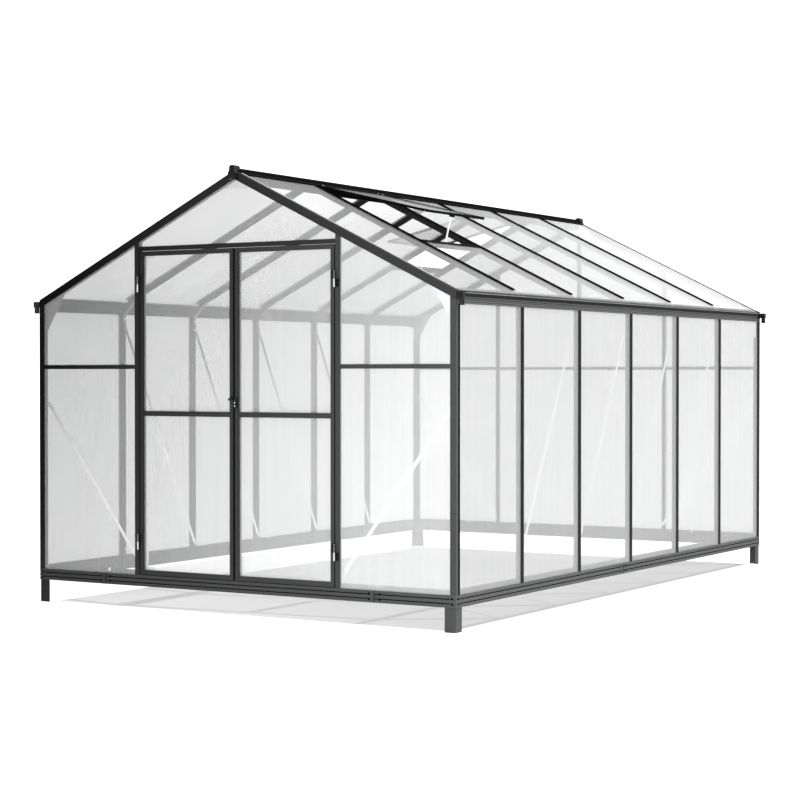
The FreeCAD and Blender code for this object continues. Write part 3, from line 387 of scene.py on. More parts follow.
@dataclass(frozen=True)
class MillMetal:
    """Bare rolled aluminium: rolling lines, dull handling marks, a painted glow that makes it
    bright and painted shade high on the left.
    """

    name: str
    base: float = 0.90
    shine: float = 0.32
    metal: float = 0.20
    sparkle: float = 0.55
    shadow: float = 0.12

    def material(self) -> bpy.types.Material:
        """Build the material.

        Returns:
            The material.
        """
        made, graph = new_material(self.name)
        lines = graph.noise((18.0, 18.0, 260.0), 2.0, 2.0)
        marks = graph.noise((1.0, 1.0, 1.0), 9.0, 5.0)
        tone = lines * 0.5 + marks * 0.5
        dark = tuple(self.base * part for part in (0.80, 0.81, 0.83))
        light = tuple(min(1.0, self.base * part) for part in (1.08, 1.08, 1.09))
        normal = graph.bump(lines, 0.12, 0.0004)
        leftward = (-0.5 - graph.axis("X")).clamp(0.0, 0.5)
        shaded = leftward * (graph.axis("Z") - 0.7).clamp(0.0, 0.5) * 4.0
        shadow = (self.shadow, self.shadow, self.shadow, 1.0)
        skin = graph.blend(shaded, graph.tint(tone, dark, light), shadow)
        inputs = {
            "Base Color": skin,
            "Roughness": self.shine + marks * 0.22,
            "Metallic": self.metal,
            "Normal": normal,
            # Painted glow: the metal gives off its own colour as light, though it is no lamp.
            "Emission Color": skin,
            "Emission Strength": self.sparkle,
        }
        graph.shade(inputs)
        return made


@dataclass(frozen=True)
class PlatedSteel:
    """Zinc plate, or a blackened plate when the base is low: mottled crystals, worn highs and a
    painted glow.
    """

    name: str
    base: float = 0.70
    shine: float = 0.24
    metal: float = 0.4
    sparkle: float = 0.45
    gloss_level: float = 0.5

    def material(self) -> bpy.types.Material:
        """Build the material.

        Returns:
            The material.
        """
        made, graph = new_material(self.name)
        inputs = {"Vector": graph.place((1.0, 1.0, 1.0)), "Scale": 420.0}
        cells = graph.node("ShaderNodeTexVoronoi", {"feature": "F1"}, inputs, "Distance")
        haze = graph.noise((1.0, 1.0, 1.0), 60.0, 4.0)
        dark = tuple(self.base * part for part in (0.72, 0.73, 0.76))
        light = tuple(min(1.0, self.base * part) for part in (1.15, 1.15, 1.14))
        normal = graph.bump(cells, 0.10, 0.0003)
        skin = graph.tint(haze * 0.7 + cells * 0.4, dark, light)
        inputs = {
            "Base Color": skin,
            "Roughness": self.shine + haze * 0.18,
            "Metallic": self.metal,
            "Normal": normal,
            "Specular IOR Level": self.gloss_level,
            # Painted glow: the plate gives off its own colour as light, though it is no lamp.
            "Emission Color": skin,
            "Emission Strength": self.sparkle,
        }
        graph.shade(inputs)
        return made


@dataclass(frozen=True)
class HingeSteel:
    """Black leaves with a painted highlight down the knuckle on the pin's line."""

    name: str
    pin: float = 0.563
    knuckle: float = 0.0046
    leaf: float = 0.006
    bright: float = 0.80

    def material(self) -> bpy.types.Material:
        """Build the material.

        Returns:
            The material.
        """
        made, graph = new_material(self.name)
        across = graph.axis("X")
        outward = graph.node("ShaderNodeMath", {"operation": "ABSOLUTE"}, {0: across})
        off = graph.node("ShaderNodeMath", {"operation": "ABSOLUTE"}, {0: outward - self.pin})
        rim = self.knuckle * 0.2
        # Painted highlight: a bright, partly metallic band down the knuckle on the pin's line.
        knuckle_highlight = 1.0 - (off - self.knuckle * 0.8).clamp(0.0, rim) / rim
        haze = graph.noise((1.0, 1.0, 1.0), 90.0, 4.0)
        black = (self.leaf,) * 3
        steel = (self.bright,) * 3
        inputs = {
            "Base Color": graph.tint(knuckle_highlight * (0.80 + haze * 0.25), black, steel),
            "Roughness": 0.30 + haze * 0.15,
            "Metallic": knuckle_highlight * 0.5,
            "Normal": graph.bump(haze, 0.1, 0.0004),
            "Specular IOR Level": 0.25,
        }
        graph.shade(inputs)
        return made


@dataclass(frozen=True)
class GlossMoulding:
    """Black moulded plastic: glossy skin with slow sink marks and fine scuffs."""

    name: str
    base: float = 0.008
    shine: float = 0.20
    coat: float = 0.10
    gloss_level: float = 0.30

    def material(self) -> bpy.types.Material:
        """Build the material.

        Returns:
            The material.
        """
        made, graph = new_material(self.name)
        sink = graph.noise((1.0, 1.0, 1.0), 38.0, 2.0)
        scuff = graph.noise((140.0, 140.0, 12.0), 3.0, 5.0)
        dark = (self.base * 0.7,) * 3
        light = (self.base * 1.6,) * 3
        normal = graph.bump(sink * 0.8 + scuff * 0.2, 0.18, 0.0012)
        inputs = {
            "Base Color": graph.tint(scuff, dark, light),
            "Roughness": self.shine + (scuff ** 2.0) * 0.35,
            "Normal": normal,
            "Coat Weight": self.coat,
            "Coat Roughness": 0.10,
            "Specular IOR Level": self.gloss_level,
        }
        graph.shade(inputs)
        return made


@dataclass(frozen=True)
class SealRubber:
    """Extruded seal: matt, with die lines along its length and a pale bloom."""

    name: str
    base: float = 0.05
    bloom: float = 0.12
    gloss_level: float = 0.3

    def material(self) -> bpy.types.Material:
        """Build the material.

        Returns:
            The material.
        """
        made, graph = new_material(self.name)
        lines = graph.noise((90.0, 90.0, 1.5), 4.0, 2.0)
        patch = graph.noise((4.0, 4.0, 4.0), 5.0, 5.0)
        dark = (self.base, self.base, self.base * 1.03)
        light = (self.base + self.bloom,) * 3
        normal = graph.bump(lines, 0.3, 0.0005)
        inputs = {
            "Base Color": graph.tint((patch * 1.4 - 0.35).clamp(0.0, 1.0), dark, light),
            "Roughness": 0.62 + patch * 0.2,
            "Normal": normal,
            "Specular IOR Level": self.gloss_level,
        }
        graph.shade(inputs)
        return made


@dataclass(frozen=True)
class TwinWall:
    """Clear twin-wall sheet: ribs, cloudy streaks along the flutes, a slight wave, painted light
    and shade across it and, on the roof, painted reflection patches.
    """

    name: str
    run: Run
    cover: float = 0.28
    shaded_cover: float = 0.28
    base: float = 0.70
    shaded: float = 0.70
    pitch: float = 0.0105
    shine: float = 0.28
    gloss_level: float = 0.30
    weather: Weather = Weather.ACROSS
    mottle: float = 0.08

    def material(self) -> bpy.types.Material:
        """Build the material.

        Returns:
            The material.
        """
        made, graph = new_material(self.name)
        across = graph.axis(self.run.value)
        ribs = (across * (2.0 * math.pi / self.pitch)).sine() * 0.5 + 0.5
        stretch = (0.8, 22.0, 0.8) if self.run is Run.ALONG_HOUSE else (22.0, 0.8, 0.8)
        streaks = graph.noise(stretch, 1.2, 4.0)
        cloud = graph.noise((1.0, 1.0, 1.0), 1.3, 3.0)
        speckle = graph.noise((1.0, 1.0, 1.0), 60.0, 2.0)
        # Painted light and shade: lighter towards +X and darker higher up, or on the roof lighter
        # towards the rear and lower down.
        if self.weather is Weather.ACROSS:
            painted_light = (graph.axis("X") * 0.42 + 0.78 - graph.axis("Z") * 0.26).clamp(0.0, 1.0)
        else:
            painted_light = (graph.axis("Y") * 0.34 + 1.55 - graph.axis("Z") * 0.62).clamp(0.0, 1.0)
        tone = streaks * 0.35 + ribs * 0.15 + cloud * 0.35 + speckle * 0.15
        layers = {}
        for place, grey in ((6, self.shaded), (7, self.base)):
            dark = (grey * 0.94, grey * 0.945, grey * 0.95)
            light = (min(1.0, grey * 1.05), min(1.0, grey * 1.055), min(1.0, grey * 1.06))
            layers[place] = graph.tint(tone, dark, light)
        sheet = graph.node("ShaderNodeMix", {"data_type": "RGBA"}, {0: painted_light, **layers}, 2)
        middle = painted_light * (self.cover - self.shaded_cover) + self.shaded_cover
        # Cloud patches in the veil: mottling, and on the roof, with the larger amount, painted
        # reflection patches.
        veil = middle + (streaks - 0.5) * 0.05 + (cloud - 0.5) * self.mottle + (ribs - 0.5) * 0.02
        height = ribs * 0.7 + streaks * 0.3
        inputs = {
            "Base Color": sheet,
            "Roughness": self.shine + streaks * 0.16,
            "Alpha": veil.clamp(0.05, 0.95),
            "Normal": graph.bump(height, 0.05, 0.0006),
            "Specular IOR Level": self.gloss_level,
        }
        graph.shade(inputs)
        return made


@dataclass(frozen=True)
class StudioPaint:
    """White painted floor with a faint texture, lit from within; less under the house."""

    name: str
    base: float = 0.38
    glow: float = 1.02
    indoor_glow: float = 0.42
    half_width: float = 1.15
    half_length: float = 1.81
    fade: float = 0.03

    def material(self) -> bpy.types.Material:
        """Build the material.

        Returns:
            The material.
        """
        made, graph = new_material(self.name)
        roller = graph.noise((1.0, 1.0, 1.0), 30.0, 4.0)
        light = (self.base,) * 3
        dark = (self.base * 0.985,) * 3
        x, y = graph.axis("X"), graph.axis("Y")
        width, length = self.half_width, self.half_length
        across = ((width ** 2 - x * x) / (2 * width * self.fade)).clamp(0.0, 1.0)
        along = ((length ** 2 - y * y) / (2 * length * self.fade)).clamp(0.0, 1.0)
        inputs = {
            "Base Color": graph.tint(roller, dark, light),
            "Roughness": 0.8,
            "Specular IOR Level": 0.0,
            "Emission Color": graph.tint(across * along, (self.glow,) * 3, (self.indoor_glow,) * 3),
            "Emission Strength": 1.0,
        }
        graph.shade(inputs)
        return made


@dataclass
class Finishes:
    """Every finish of the house, made once and handed out by name."""

    made: Dict[str, bpy.types.Material] = field(default_factory=dict)

    def prepare(self) -> None:
        """Build all materials."""
        finishes = [
            # The frame coats are one paint at different greys: front, rail and rib coats are lit
            # copies, the dark, side, roof and bar coats shaded copies, painted light and shade by
            # which way each member faces.
            PowderCoat("front_coat", base=0.078, shaded=0.001, gloss_level=0.08),
            PowderCoat("dark_coat", base=0.050, shaded=0.001, gloss_level=0.06),
            PowderCoat("side_coat", base=0.014, shaded=0.006, gloss_level=0.05, dust=0.06),
            PowderCoat("rail_coat", base=0.090, shaded=0.022),
            PowderCoat("roof_coat", base=0.006, shaded=0.004, shine=0.62, gloss_level=0.03),
            PowderCoat("cap_coat", base=0.004, shaded=0.003, shine=0.75, gloss_level=0.0, dust=0.0),
            PowderCoat("bar_coat", base=0.030, shaded=0.022, shine=0.60, gloss_level=0.05),
            PowderCoat("rib_coat", base=0.120, shaded=0.100),
            MillMetal("mill_plate"),
            PlatedSteel("zinc_fixing"),
            PlatedSteel(
                "black_fixing", base=0.002, shine=0.50, metal=0.0, sparkle=0.0, gloss_level=0.05
            ),
            HingeSteel("hinge_steel"),
            # The door-side hinges get a dimmer painted highlight on the knuckle.
            HingeSteel("hinge_worn", bright=0.16),
            GlossMoulding("black_moulding"),
            # Near-black and matt: the meeting and post seals, and strips of painted shade in
            # grooves, door gaps and rail joints.
            SealRubber("dark_seal", base=0.001, bloom=0.002, gloss_level=0.0),
            SealRubber("pale_seal", base=0.42, bloom=0.25),
            SealRubber("grey_seal", base=0.20, bloom=0.10),
            TwinWall(
                "gable_sheet", Run.ACROSS_HOUSE,
                cover=0.38, shaded_cover=0.34, base=0.92, shaded=0.34,
            ),
            TwinWall(
                "wall_sheet", Run.ALONG_HOUSE,
                cover=0.37, shaded_cover=0.355, base=0.60, shaded=0.52,
            ),
            TwinWall(
                "roof_sheet", Run.ALONG_HOUSE,
                cover=0.62, shaded_cover=0.26, base=0.80, shaded=0.52,
                weather=Weather.ALONG, mottle=0.22,
            ),
        ]
        for finish in finishes:
            self.made[finish.name] = finish.material()
        LOG.info("%d finishes", len(self.made))

    def dress(self, piece: bpy.types.Object, name: str) -> None:
        """Give a piece one finish all over."""
        piece.data.materials.clear()
        piece.data.materials.append(self.made[name])


# ---- hand tools ----


class Bench:
    """Modelling steps that several pieces share. Each starts with nothing selected."""

    @staticmethod
    def clear() -> None:
        """Leave edit mode and deselect everything."""
        if bpy.context.object and bpy.context.object.mode != "OBJECT":
            bpy.ops.object.mode_set(mode="OBJECT")
        bpy.ops.object.select_all(action="DESELECT")

    @staticmethod
    def settle(name: str) -> bpy.types.Object:
        """Name the active object and apply its transforms.

        Args:
            name: its new name.

        Returns:
            The object.
        """
        piece = bpy.context.active_object
        piece.name = name
        piece.data.name = name
        bpy.ops.object.transform_apply(location=True, rotation=True, scale=True)
        return piece

    @staticmethod
    def block(name: str, low: Sequence[float], high: Sequence[float]) -> bpy.types.Object:
        """A box between two corners, to be shaped further.

        Args:
            name: name of the piece.
            low: lowest corner.
            high: highest corner.

        Returns:
            The new piece, with its place in its mesh.
        """
        Bench.clear()
        low, high = Vector(low), Vector(high)
        bpy.ops.mesh.primitive_cube_add(size=1.0, location=(low + high) / 2, scale=high - low)
        return Bench.settle(name)

    @staticmethod
    def round_bar(name: str, radius: float, depth: float, sides: int) -> bpy.types.Object:
        """An upright cylinder on the origin's plane, to be shaped further.

        Args:
            name: name of the piece.
            radius: its radius.
            depth: its height.
            sides: number of sides.

        Returns:
            The new piece.
        """
        Bench.clear()
        middle = (0, 0, depth / 2)
        bpy.ops.mesh.primitive_cylinder_add(
            vertices=sides, radius=radius, depth=depth, location=middle
        )
        return Bench.settle(name)

    @staticmethod
    def pick(piece: bpy.types.Object, test: Callable[[Vector, Vector], bool]) -> None:
        """Go into edit mode with the faces selected that pass a test.

        Args:
            piece: the piece to edit.
            test: takes a face's middle and its normal.
        """
        Bench.clear()
        bpy.context.view_layer.objects.active = piece
        piece.select_set(True)
        bpy.ops.object.mode_set(mode="EDIT")
        bpy.ops.mesh.select_mode(type="FACE")
        bpy.ops.mesh.select_all(action="DESELECT")
        bpy.ops.object.mode_set(mode="OBJECT")
        for face in piece.data.polygons:
            face.select = test(face.center, face.normal)
        bpy.ops.object.mode_set(mode="EDIT")

    @staticmethod
    def done() -> None:
        """Leave edit mode."""
        bpy.ops.object.mode_set(mode="OBJECT")

    @staticmethod
    def groove(piece: bpy.types.Object, way: Vector, inset: float, depth: float) -> None:
        """Inset the faces that look one way and push them in.

        Args:
            piece: the piece to edit.
            way: the direction those faces look.
            inset: width of the rim that stays.
            depth: how far the rest goes in; a negative depth raises it.
        """
        Bench.pick(piece, lambda middle, normal: normal.dot(way) > 0.98)
        bpy.ops.mesh.inset(thickness=inset, use_boundary=True)
        bpy.ops.transform.translate(value=way * -depth)
        Bench.done()

    @staticmethod
    def soften(piece: bpy.types.Object, width: float, segments: int = 2) -> None:
        """Round the sharp edges with a bevel that is applied.

        Args:
            piece: the piece to edit.
            width: width of the bevel.
            segments: number of steps across it.
        """
        Bench.clear()
        bpy.context.view_layer.objects.active = piece
        piece.select_set(True)
        bevel = piece.modifiers.new("rounding", "BEVEL")
        bevel.width = width
        bevel.segments = segments
        bevel.limit_method = "ANGLE"
        bevel.angle_limit = math.radians(35)
        bevel.harden_normals = False
        bpy.ops.object.modifier_apply(modifier=bevel.name)
        bpy.ops.object.shade_smooth_by_angle(angle=math.radians(35))

    @staticmethod
    def copy_to(piece: bpy.types.Object, name: str, places: Iterable[Matrix]) -> bpy.types.Object:
        """Repeat a piece at several places and join the copies.

        Args:
            piece: the piece to repeat; it is used up.
            name: name of the joined piece.
            places: where each copy goes.

        Returns:
            The joined piece.
        """
        Bench.clear()
        copies: List[bpy.types.Object] = []
        for place in places:
            copy = bpy.data.objects.new(name, piece.data.copy())
            copy.data.transform(place)
            if place.determinant() < 0:
                copy.data.flip_normals()
            bpy.context.scene.collection.objects.link(copy)
            copy.select_set(True)
            copies.append(copy)
        bpy.data.objects.remove(piece)
        bpy.context.view_layer.objects.active = copies[0]
        if len(copies) > 1:
            bpy.ops.object.join()
        joined = bpy.context.view_layer.objects.active
        joined.name = name
        return joined

    @staticmethod
    def pull(value: Sequence[float]) -> None:
        """Extrude the picked faces and leave edit mode.

        Args:
            value: how far they move.
        """
        bpy.ops.mesh.extrude_region_move(TRANSFORM_OT_translate={"value": value})
        Bench.done()

    @staticmethod
    def join(pieces: Iterable[bpy.types.Object], active: bpy.types.Object) -> bpy.types.Object:
        """Join finished pieces into one of them.

        Args:
            pieces: the pieces to join.
            active: the one that takes in the others.

        Returns:
            The joined piece.
        """
        Bench.clear()
        for piece in pieces:
            piece.select_set(True)
        bpy.context.view_layer.objects.active = active
        bpy.ops.object.join()
        return active


@dataclass(frozen=True)
class House:
    """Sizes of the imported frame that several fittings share."""

    half_width: float = 1.190
    half_length: float = 1.847
    bay: float = 0.608
    bays: int = 6
    front_splice: float = 0.770
    side_splice: float = 0.100

    def line(self, number: float) -> float:
        """Place along the house of a bar, or of a bay's middle for a number and a half."""
        return self.bay * number - self.bay * self.bays / 2


@dataclass(frozen=True)
class Slope:
    """A roof slope as an inclined frame: run goes down the slope, rise stands off it."""

    ridge: float = 2.084
    eave: float = 1.501
    half_width: float = 1.190

    @property
    def fall(self) -> float:
        """Pitch of the roof."""
        return math.atan2(self.ridge - self.eave, self.half_width)

    @property
    def length(self) -> float:
        """Length of the slope from the ridge line to the eave."""
        return math.hypot(self.ridge - self.eave, self.half_width)

    def matrix(self, side: Side) -> Matrix:
        """Frame whose X runs down the slope of a side, Z stands off it and Y stays level.

        Args:
            side: which slope.

        Returns:
            The frame, with its origin on the ridge line.
        """
        turn = Matrix.Rotation(self.fall, 4, "Y")
        return Matrix.Translation((0, 0, self.ridge)) @ side.half_turn() @ turn


# ---- sub-assemblies ----


@dataclass
class FrameCoats:
    """Softened edges and finishes of the metal, glazing and mouldings that come from the CAD."""

    edge: float = 0.0006
    weld: float = 0.00002
    sharp: float = math.radians(40)
    # The groups take lit and shaded copies of one paint, by which way the members face: painted
    # light and shade.
    front: Tuple[str, ...] = (
        "feet", "corner_posts", "door_jambs", "front_mid_rails", "right_door_stiles",
        "right_door_rails", "left_door_stiles", "left_door_rails",
    )
    rails: Tuple[str, ...] = (
        "base_rails_front", "base_rails_right", "base_rails_left", "base_rails_rear",
    )
    dark: Tuple[str, ...] = ("rafters_front", "door_header")
    side: Tuple[str, ...] = (
        "wall_bars_right", "wall_bars_left", "rear_posts", "rear_mid_rails", "rafters_rear",
        "eave_rail_right", "eave_rail_left",
    )
    bars: Tuple[str, ...] = ("roof_bars_right", "roof_bars_left")
    roof: Tuple[str, ...] = (
        "ridge_beam", "vent_sash_right", "vent_sash_left", "vent_sill_right", "vent_sill_left",
    )
    hinge: Tuple[str, ...] = ("hinge_fixed_leaves",)
    moving_hinge: Tuple[str, ...] = ("right_door_hinges", "left_door_hinges")
    bright: Tuple[str, ...] = (
        "wall_braces_right", "wall_braces_left", "gable_braces", "knee_brackets_right",
        "knee_brackets_left", "gable_gussets", "eave_splice_plates", "base_splice_plates",
        "vent_stay_right", "vent_stay_left",
    )
    moulded: Tuple[str, ...] = (
        "gutter_outlets", "ridge_end_caps", "latch_plate", "latch_lever", "latch_keeper",
    )
    gable_glass: Tuple[str, ...] = (
        "front_panels", "rear_panels", "right_door_panels", "left_door_panels",
    )
    wall_glass: Tuple[str, ...] = ("wall_panels_right", "wall_panels_left")
    roof_glass: Tuple[str, ...] = (
        "roof_panels_right", "roof_panels_left", "vent_panel_right", "vent_panel_left",
    )

    def build(self) -> None:
        """Round the metal's edges with live modifiers, which leave the CAD meshes alone."""
        metal = self.front + self.rails + self.dark + self.side + self.bars + self.roof
        for name in metal + self.bright + self.moulded:
            node = frame["nodes"][name]
            weld = node.modifiers.new("weld", "WELD")
            weld.merge_threshold = self.weld
            bevel = node.modifiers.new("rounding", "BEVEL")
            bevel.width = self.edge
            bevel.segments = 1
            bevel.limit_method = "ANGLE"
            bevel.angle_limit = self.sharp
            bevel.use_clamp_overlap = True

    def dress(self, finishes: Finishes) -> None:
        """Give every CAD part its finish.

        Args:
            finishes: the finishes, by name.
        """
        groups = (
            (self.front, "front_coat"), (self.rails, "rail_coat"), (self.dark, "dark_coat"),
            (self.side, "side_coat"), (self.bars, "bar_coat"), (self.roof, "roof_coat"),
            (self.hinge, "hinge_steel"), (self.moving_hinge, "hinge_worn"),
            (self.bright, "mill_plate"), (self.moulded, "black_moulding"),
            (self.gable_glass, "gable_sheet"), (self.wall_glass, "wall_sheet"),
            (self.roof_glass, "roof_sheet"),
        )
        for names, finish in groups:
            for name in names:
                finishes.dress(frame["nodes"][name], finish)
                LOG.info("%s: %s", name, finish)


@dataclass
class ScrewHead:
    """A domed screw head with a driver socket, modelled once."""

    radius: float
    height: float
    sides: int = 12
    dome: float = 0.30
    socket: float = 0.36
    shoulder_rise: float = 0.22
    crown_rise: float = 0.08
    socket_depth: float = 0.75

    def build(self, name: str) -> bpy.types.Object:
        """Model the head on the origin, pointing up.

        Args:
            name: name of the piece.

        Returns:
            The piece.
        """
        piece = Bench.round_bar(name, self.radius, self.height, self.sides)
        top = self.height
        Bench.pick(piece, lambda middle, normal: normal.z > 0.9)
        bpy.ops.mesh.inset(thickness=self.radius * self.dome)
        bpy.ops.transform.translate(value=(0, 0, top * self.shoulder_rise))
        bpy.ops.mesh.inset(thickness=self.radius * (1 - self.dome - self.socket))
        bpy.ops.transform.translate(value=(0, 0, top * self.crown_rise))
        Bench.pull((0, 0, -top * self.socket_depth))
        limit = self.height / (top * (1.0 + self.shoulder_rise + self.crown_rise))
        piece.data.transform(Matrix.Diagonal((1, 1, limit, 1)))
        Bench.soften(piece, self.radius * 0.06, 1)
        return piece


@dataclass
class HexBolt:
    """A hexagon bolt head on a washer, modelled once."""

    washer: float
    across: float
    height: float
    washer_part: float = 0.28
    washer_sides: int = 16
    crown: float = 0.04

    def build(self, name: str) -> bpy.types.Object:
        """Model the bolt head on the origin, pointing up.

        Args:
            name: name of the piece.

        Returns:
            The piece.
        """
        thick = self.height * self.washer_part
        rise = self.height * self.crown
        washer = Bench.round_bar(name + "_washer", self.washer, thick, self.washer_sides)
        Bench.groove(washer, Vector((0, 0, 1)), self.washer * 0.10, -rise)
        head = Bench.round_bar(name, self.across, self.height * (1.0 - self.crown), 6)
        Bench.pick(head, lambda middle, normal: normal.z > 0.9)
        bpy.ops.mesh.inset(thickness=self.across * 0.16)
        bpy.ops.transform.translate(value=(0, 0, rise))
        Bench.done()
        head = Bench.join([washer, head], head)
        Bench.soften(head, self.across * 0.05, 1)
        return head


@dataclass
class Trim:
    """A sub-assembly of added pieces, with the finish that each one gets."""

    pieces: Dict[str, str] = field(default_factory=dict, init=False)

    def keep(
        self, piece: bpy.types.Object, finish: str, slot: Slot, body: str = "house"
    ) -> None:
        """Let a finished piece ride on its body and note its finish.

        Args:
            piece: the piece.
            finish: name of its finish.
            slot: not used; the slot that the finish comes from.
            body: the CAD body that carries it.
        """
        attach(piece, body)
        self.pieces[piece.name] = finish

    def build(self) -> None:
        """Model the pieces."""
        raise NotImplementedError

    def dress(self, finishes: Finishes) -> None:
        """Give each piece its finish and report it.

        Args:
            finishes: the finishes, by name.
        """
        for name, finish in self.pieces.items():
            finishes.dress(bpy.data.objects[name], finish)
            LOG.info("%s: %s", name, finish)


@dataclass
class BaseFixings(Trim):
    """Screw heads on the base rails, in place of the plain heads of the CAD part."""

    house: House = House()
    column: float = 0.028
    row: float = 0.012
    corner: float = 0.020
    middle: float = 0.137
    head: ScrewHead = field(default_factory=lambda: ScrewHead(0.0058, 0.0016))

    def places(self) -> List[Matrix]:
        """Every head's place, as a matrix that takes +Z outwards.

        Returns:
            The places on the two ends, then on the two sides.
        """
        found: List[Matrix] = []
        house = self.house
        rows = (self.middle - self.row, self.middle + self.row)
        for end in End:
            facing = Facing.OUT_Y if end is End.REAR else Facing.IN_Y
            columns = [i * house.front_splice + j * self.column for i in (1, -1) for j in (1, -1)]
            columns += [i * (house.half_width - self.corner) for i in (1, -1)]
            spots = [(x, end.value * house.half_length, z) for x in columns for z in rows]
            found += [Matrix.Translation(spot) @ facing.turn() for spot in spots]
        for side in Side:
            facing = Facing.OUT_X if side is Side.RIGHT else Facing.IN_X
            columns = [-side.value * house.side_splice + j * self.column for j in (1, -1)]
            columns += [i * (house.half_length - self.corner) for i in (1, -1)]
            spots = [(side.value * house.half_width, y, z) for y in columns for z in rows]
            found += [Matrix.Translation(spot) @ facing.turn() for spot in spots]
        return found

    def build(self) -> None:
        """Model one head and set it at every place."""
        head = self.head.build("base_screw_head")
        piece = Bench.copy_to(head, "base_screw_heads", self.places())
        self.keep(piece, "black_fixing", Slot.FASTENER)
        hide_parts("base_screws")


@dataclass
class FrameBolts(Trim):
    """Hexagon bolts inside the house, in place of the plain heads of the CAD part."""

    house: House = House()
    bar_depth: float = 0.029
    brace_wall: float = 0.003
    brace_low: float = 0.216
    brace_high: float = 1.374
    eave_depth: float = 0.030
    knee_height: float = 1.421
    jamb: float = 0.576
    gable_low: float = 0.226
    gable_high: float = 0.979
    post: float = 1.160
    bolt: HexBolt = field(default_factory=lambda: HexBolt(0.0050, 0.0040, 0.0040))

    def places(self) -> List[Matrix]:
        """Every bolt's place, as a matrix that takes +Z into the house.

        Returns:
            The places on the two sides, then on the two ends.
        """
        found: List[Matrix] = []
        house = self.house
        for side in Side:
            facing = Facing.IN_X if side is Side.RIGHT else Facing.OUT_X
            face = side.value * (house.half_width - self.bar_depth - self.brace_wall)
            braced = range(1, house.bays - 1)
            spots = [(face, house.line(n), self.brace_low) for n in braced]
            spots += [(face, house.line(n + 1), self.brace_high) for n in braced]
            knee = side.value * (house.half_width - self.eave_depth - self.brace_wall)
            spots += [(knee, house.line(n), self.knee_height) for n in range(1, house.bays)]
            found += [Matrix.Translation(spot) @ facing.turn() for spot in spots]
        for end in End:
            facing = Facing.IN_Y if end is End.REAR else Facing.OUT_Y
            face = end.value * (house.half_length - self.bar_depth - self.brace_wall)
            ends = ((self.jamb, self.gable_low), (self.post, self.gable_high))
            spots = [(i * x, face, z) for x, z in ends for i in (1, -1)]
            found += [Matrix.Translation(spot) @ facing.turn() for spot in spots]
        return found

    def build(self) -> None:
        """Model one bolt and set it at every place."""
        bolt = self.bolt.build("frame_bolt_head")
        piece = Bench.copy_to(bolt, "frame_bolt_heads", self.places())
        self.keep(piece, "zinc_fixing", Slot.FASTENER)
        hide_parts("frame_bolts")


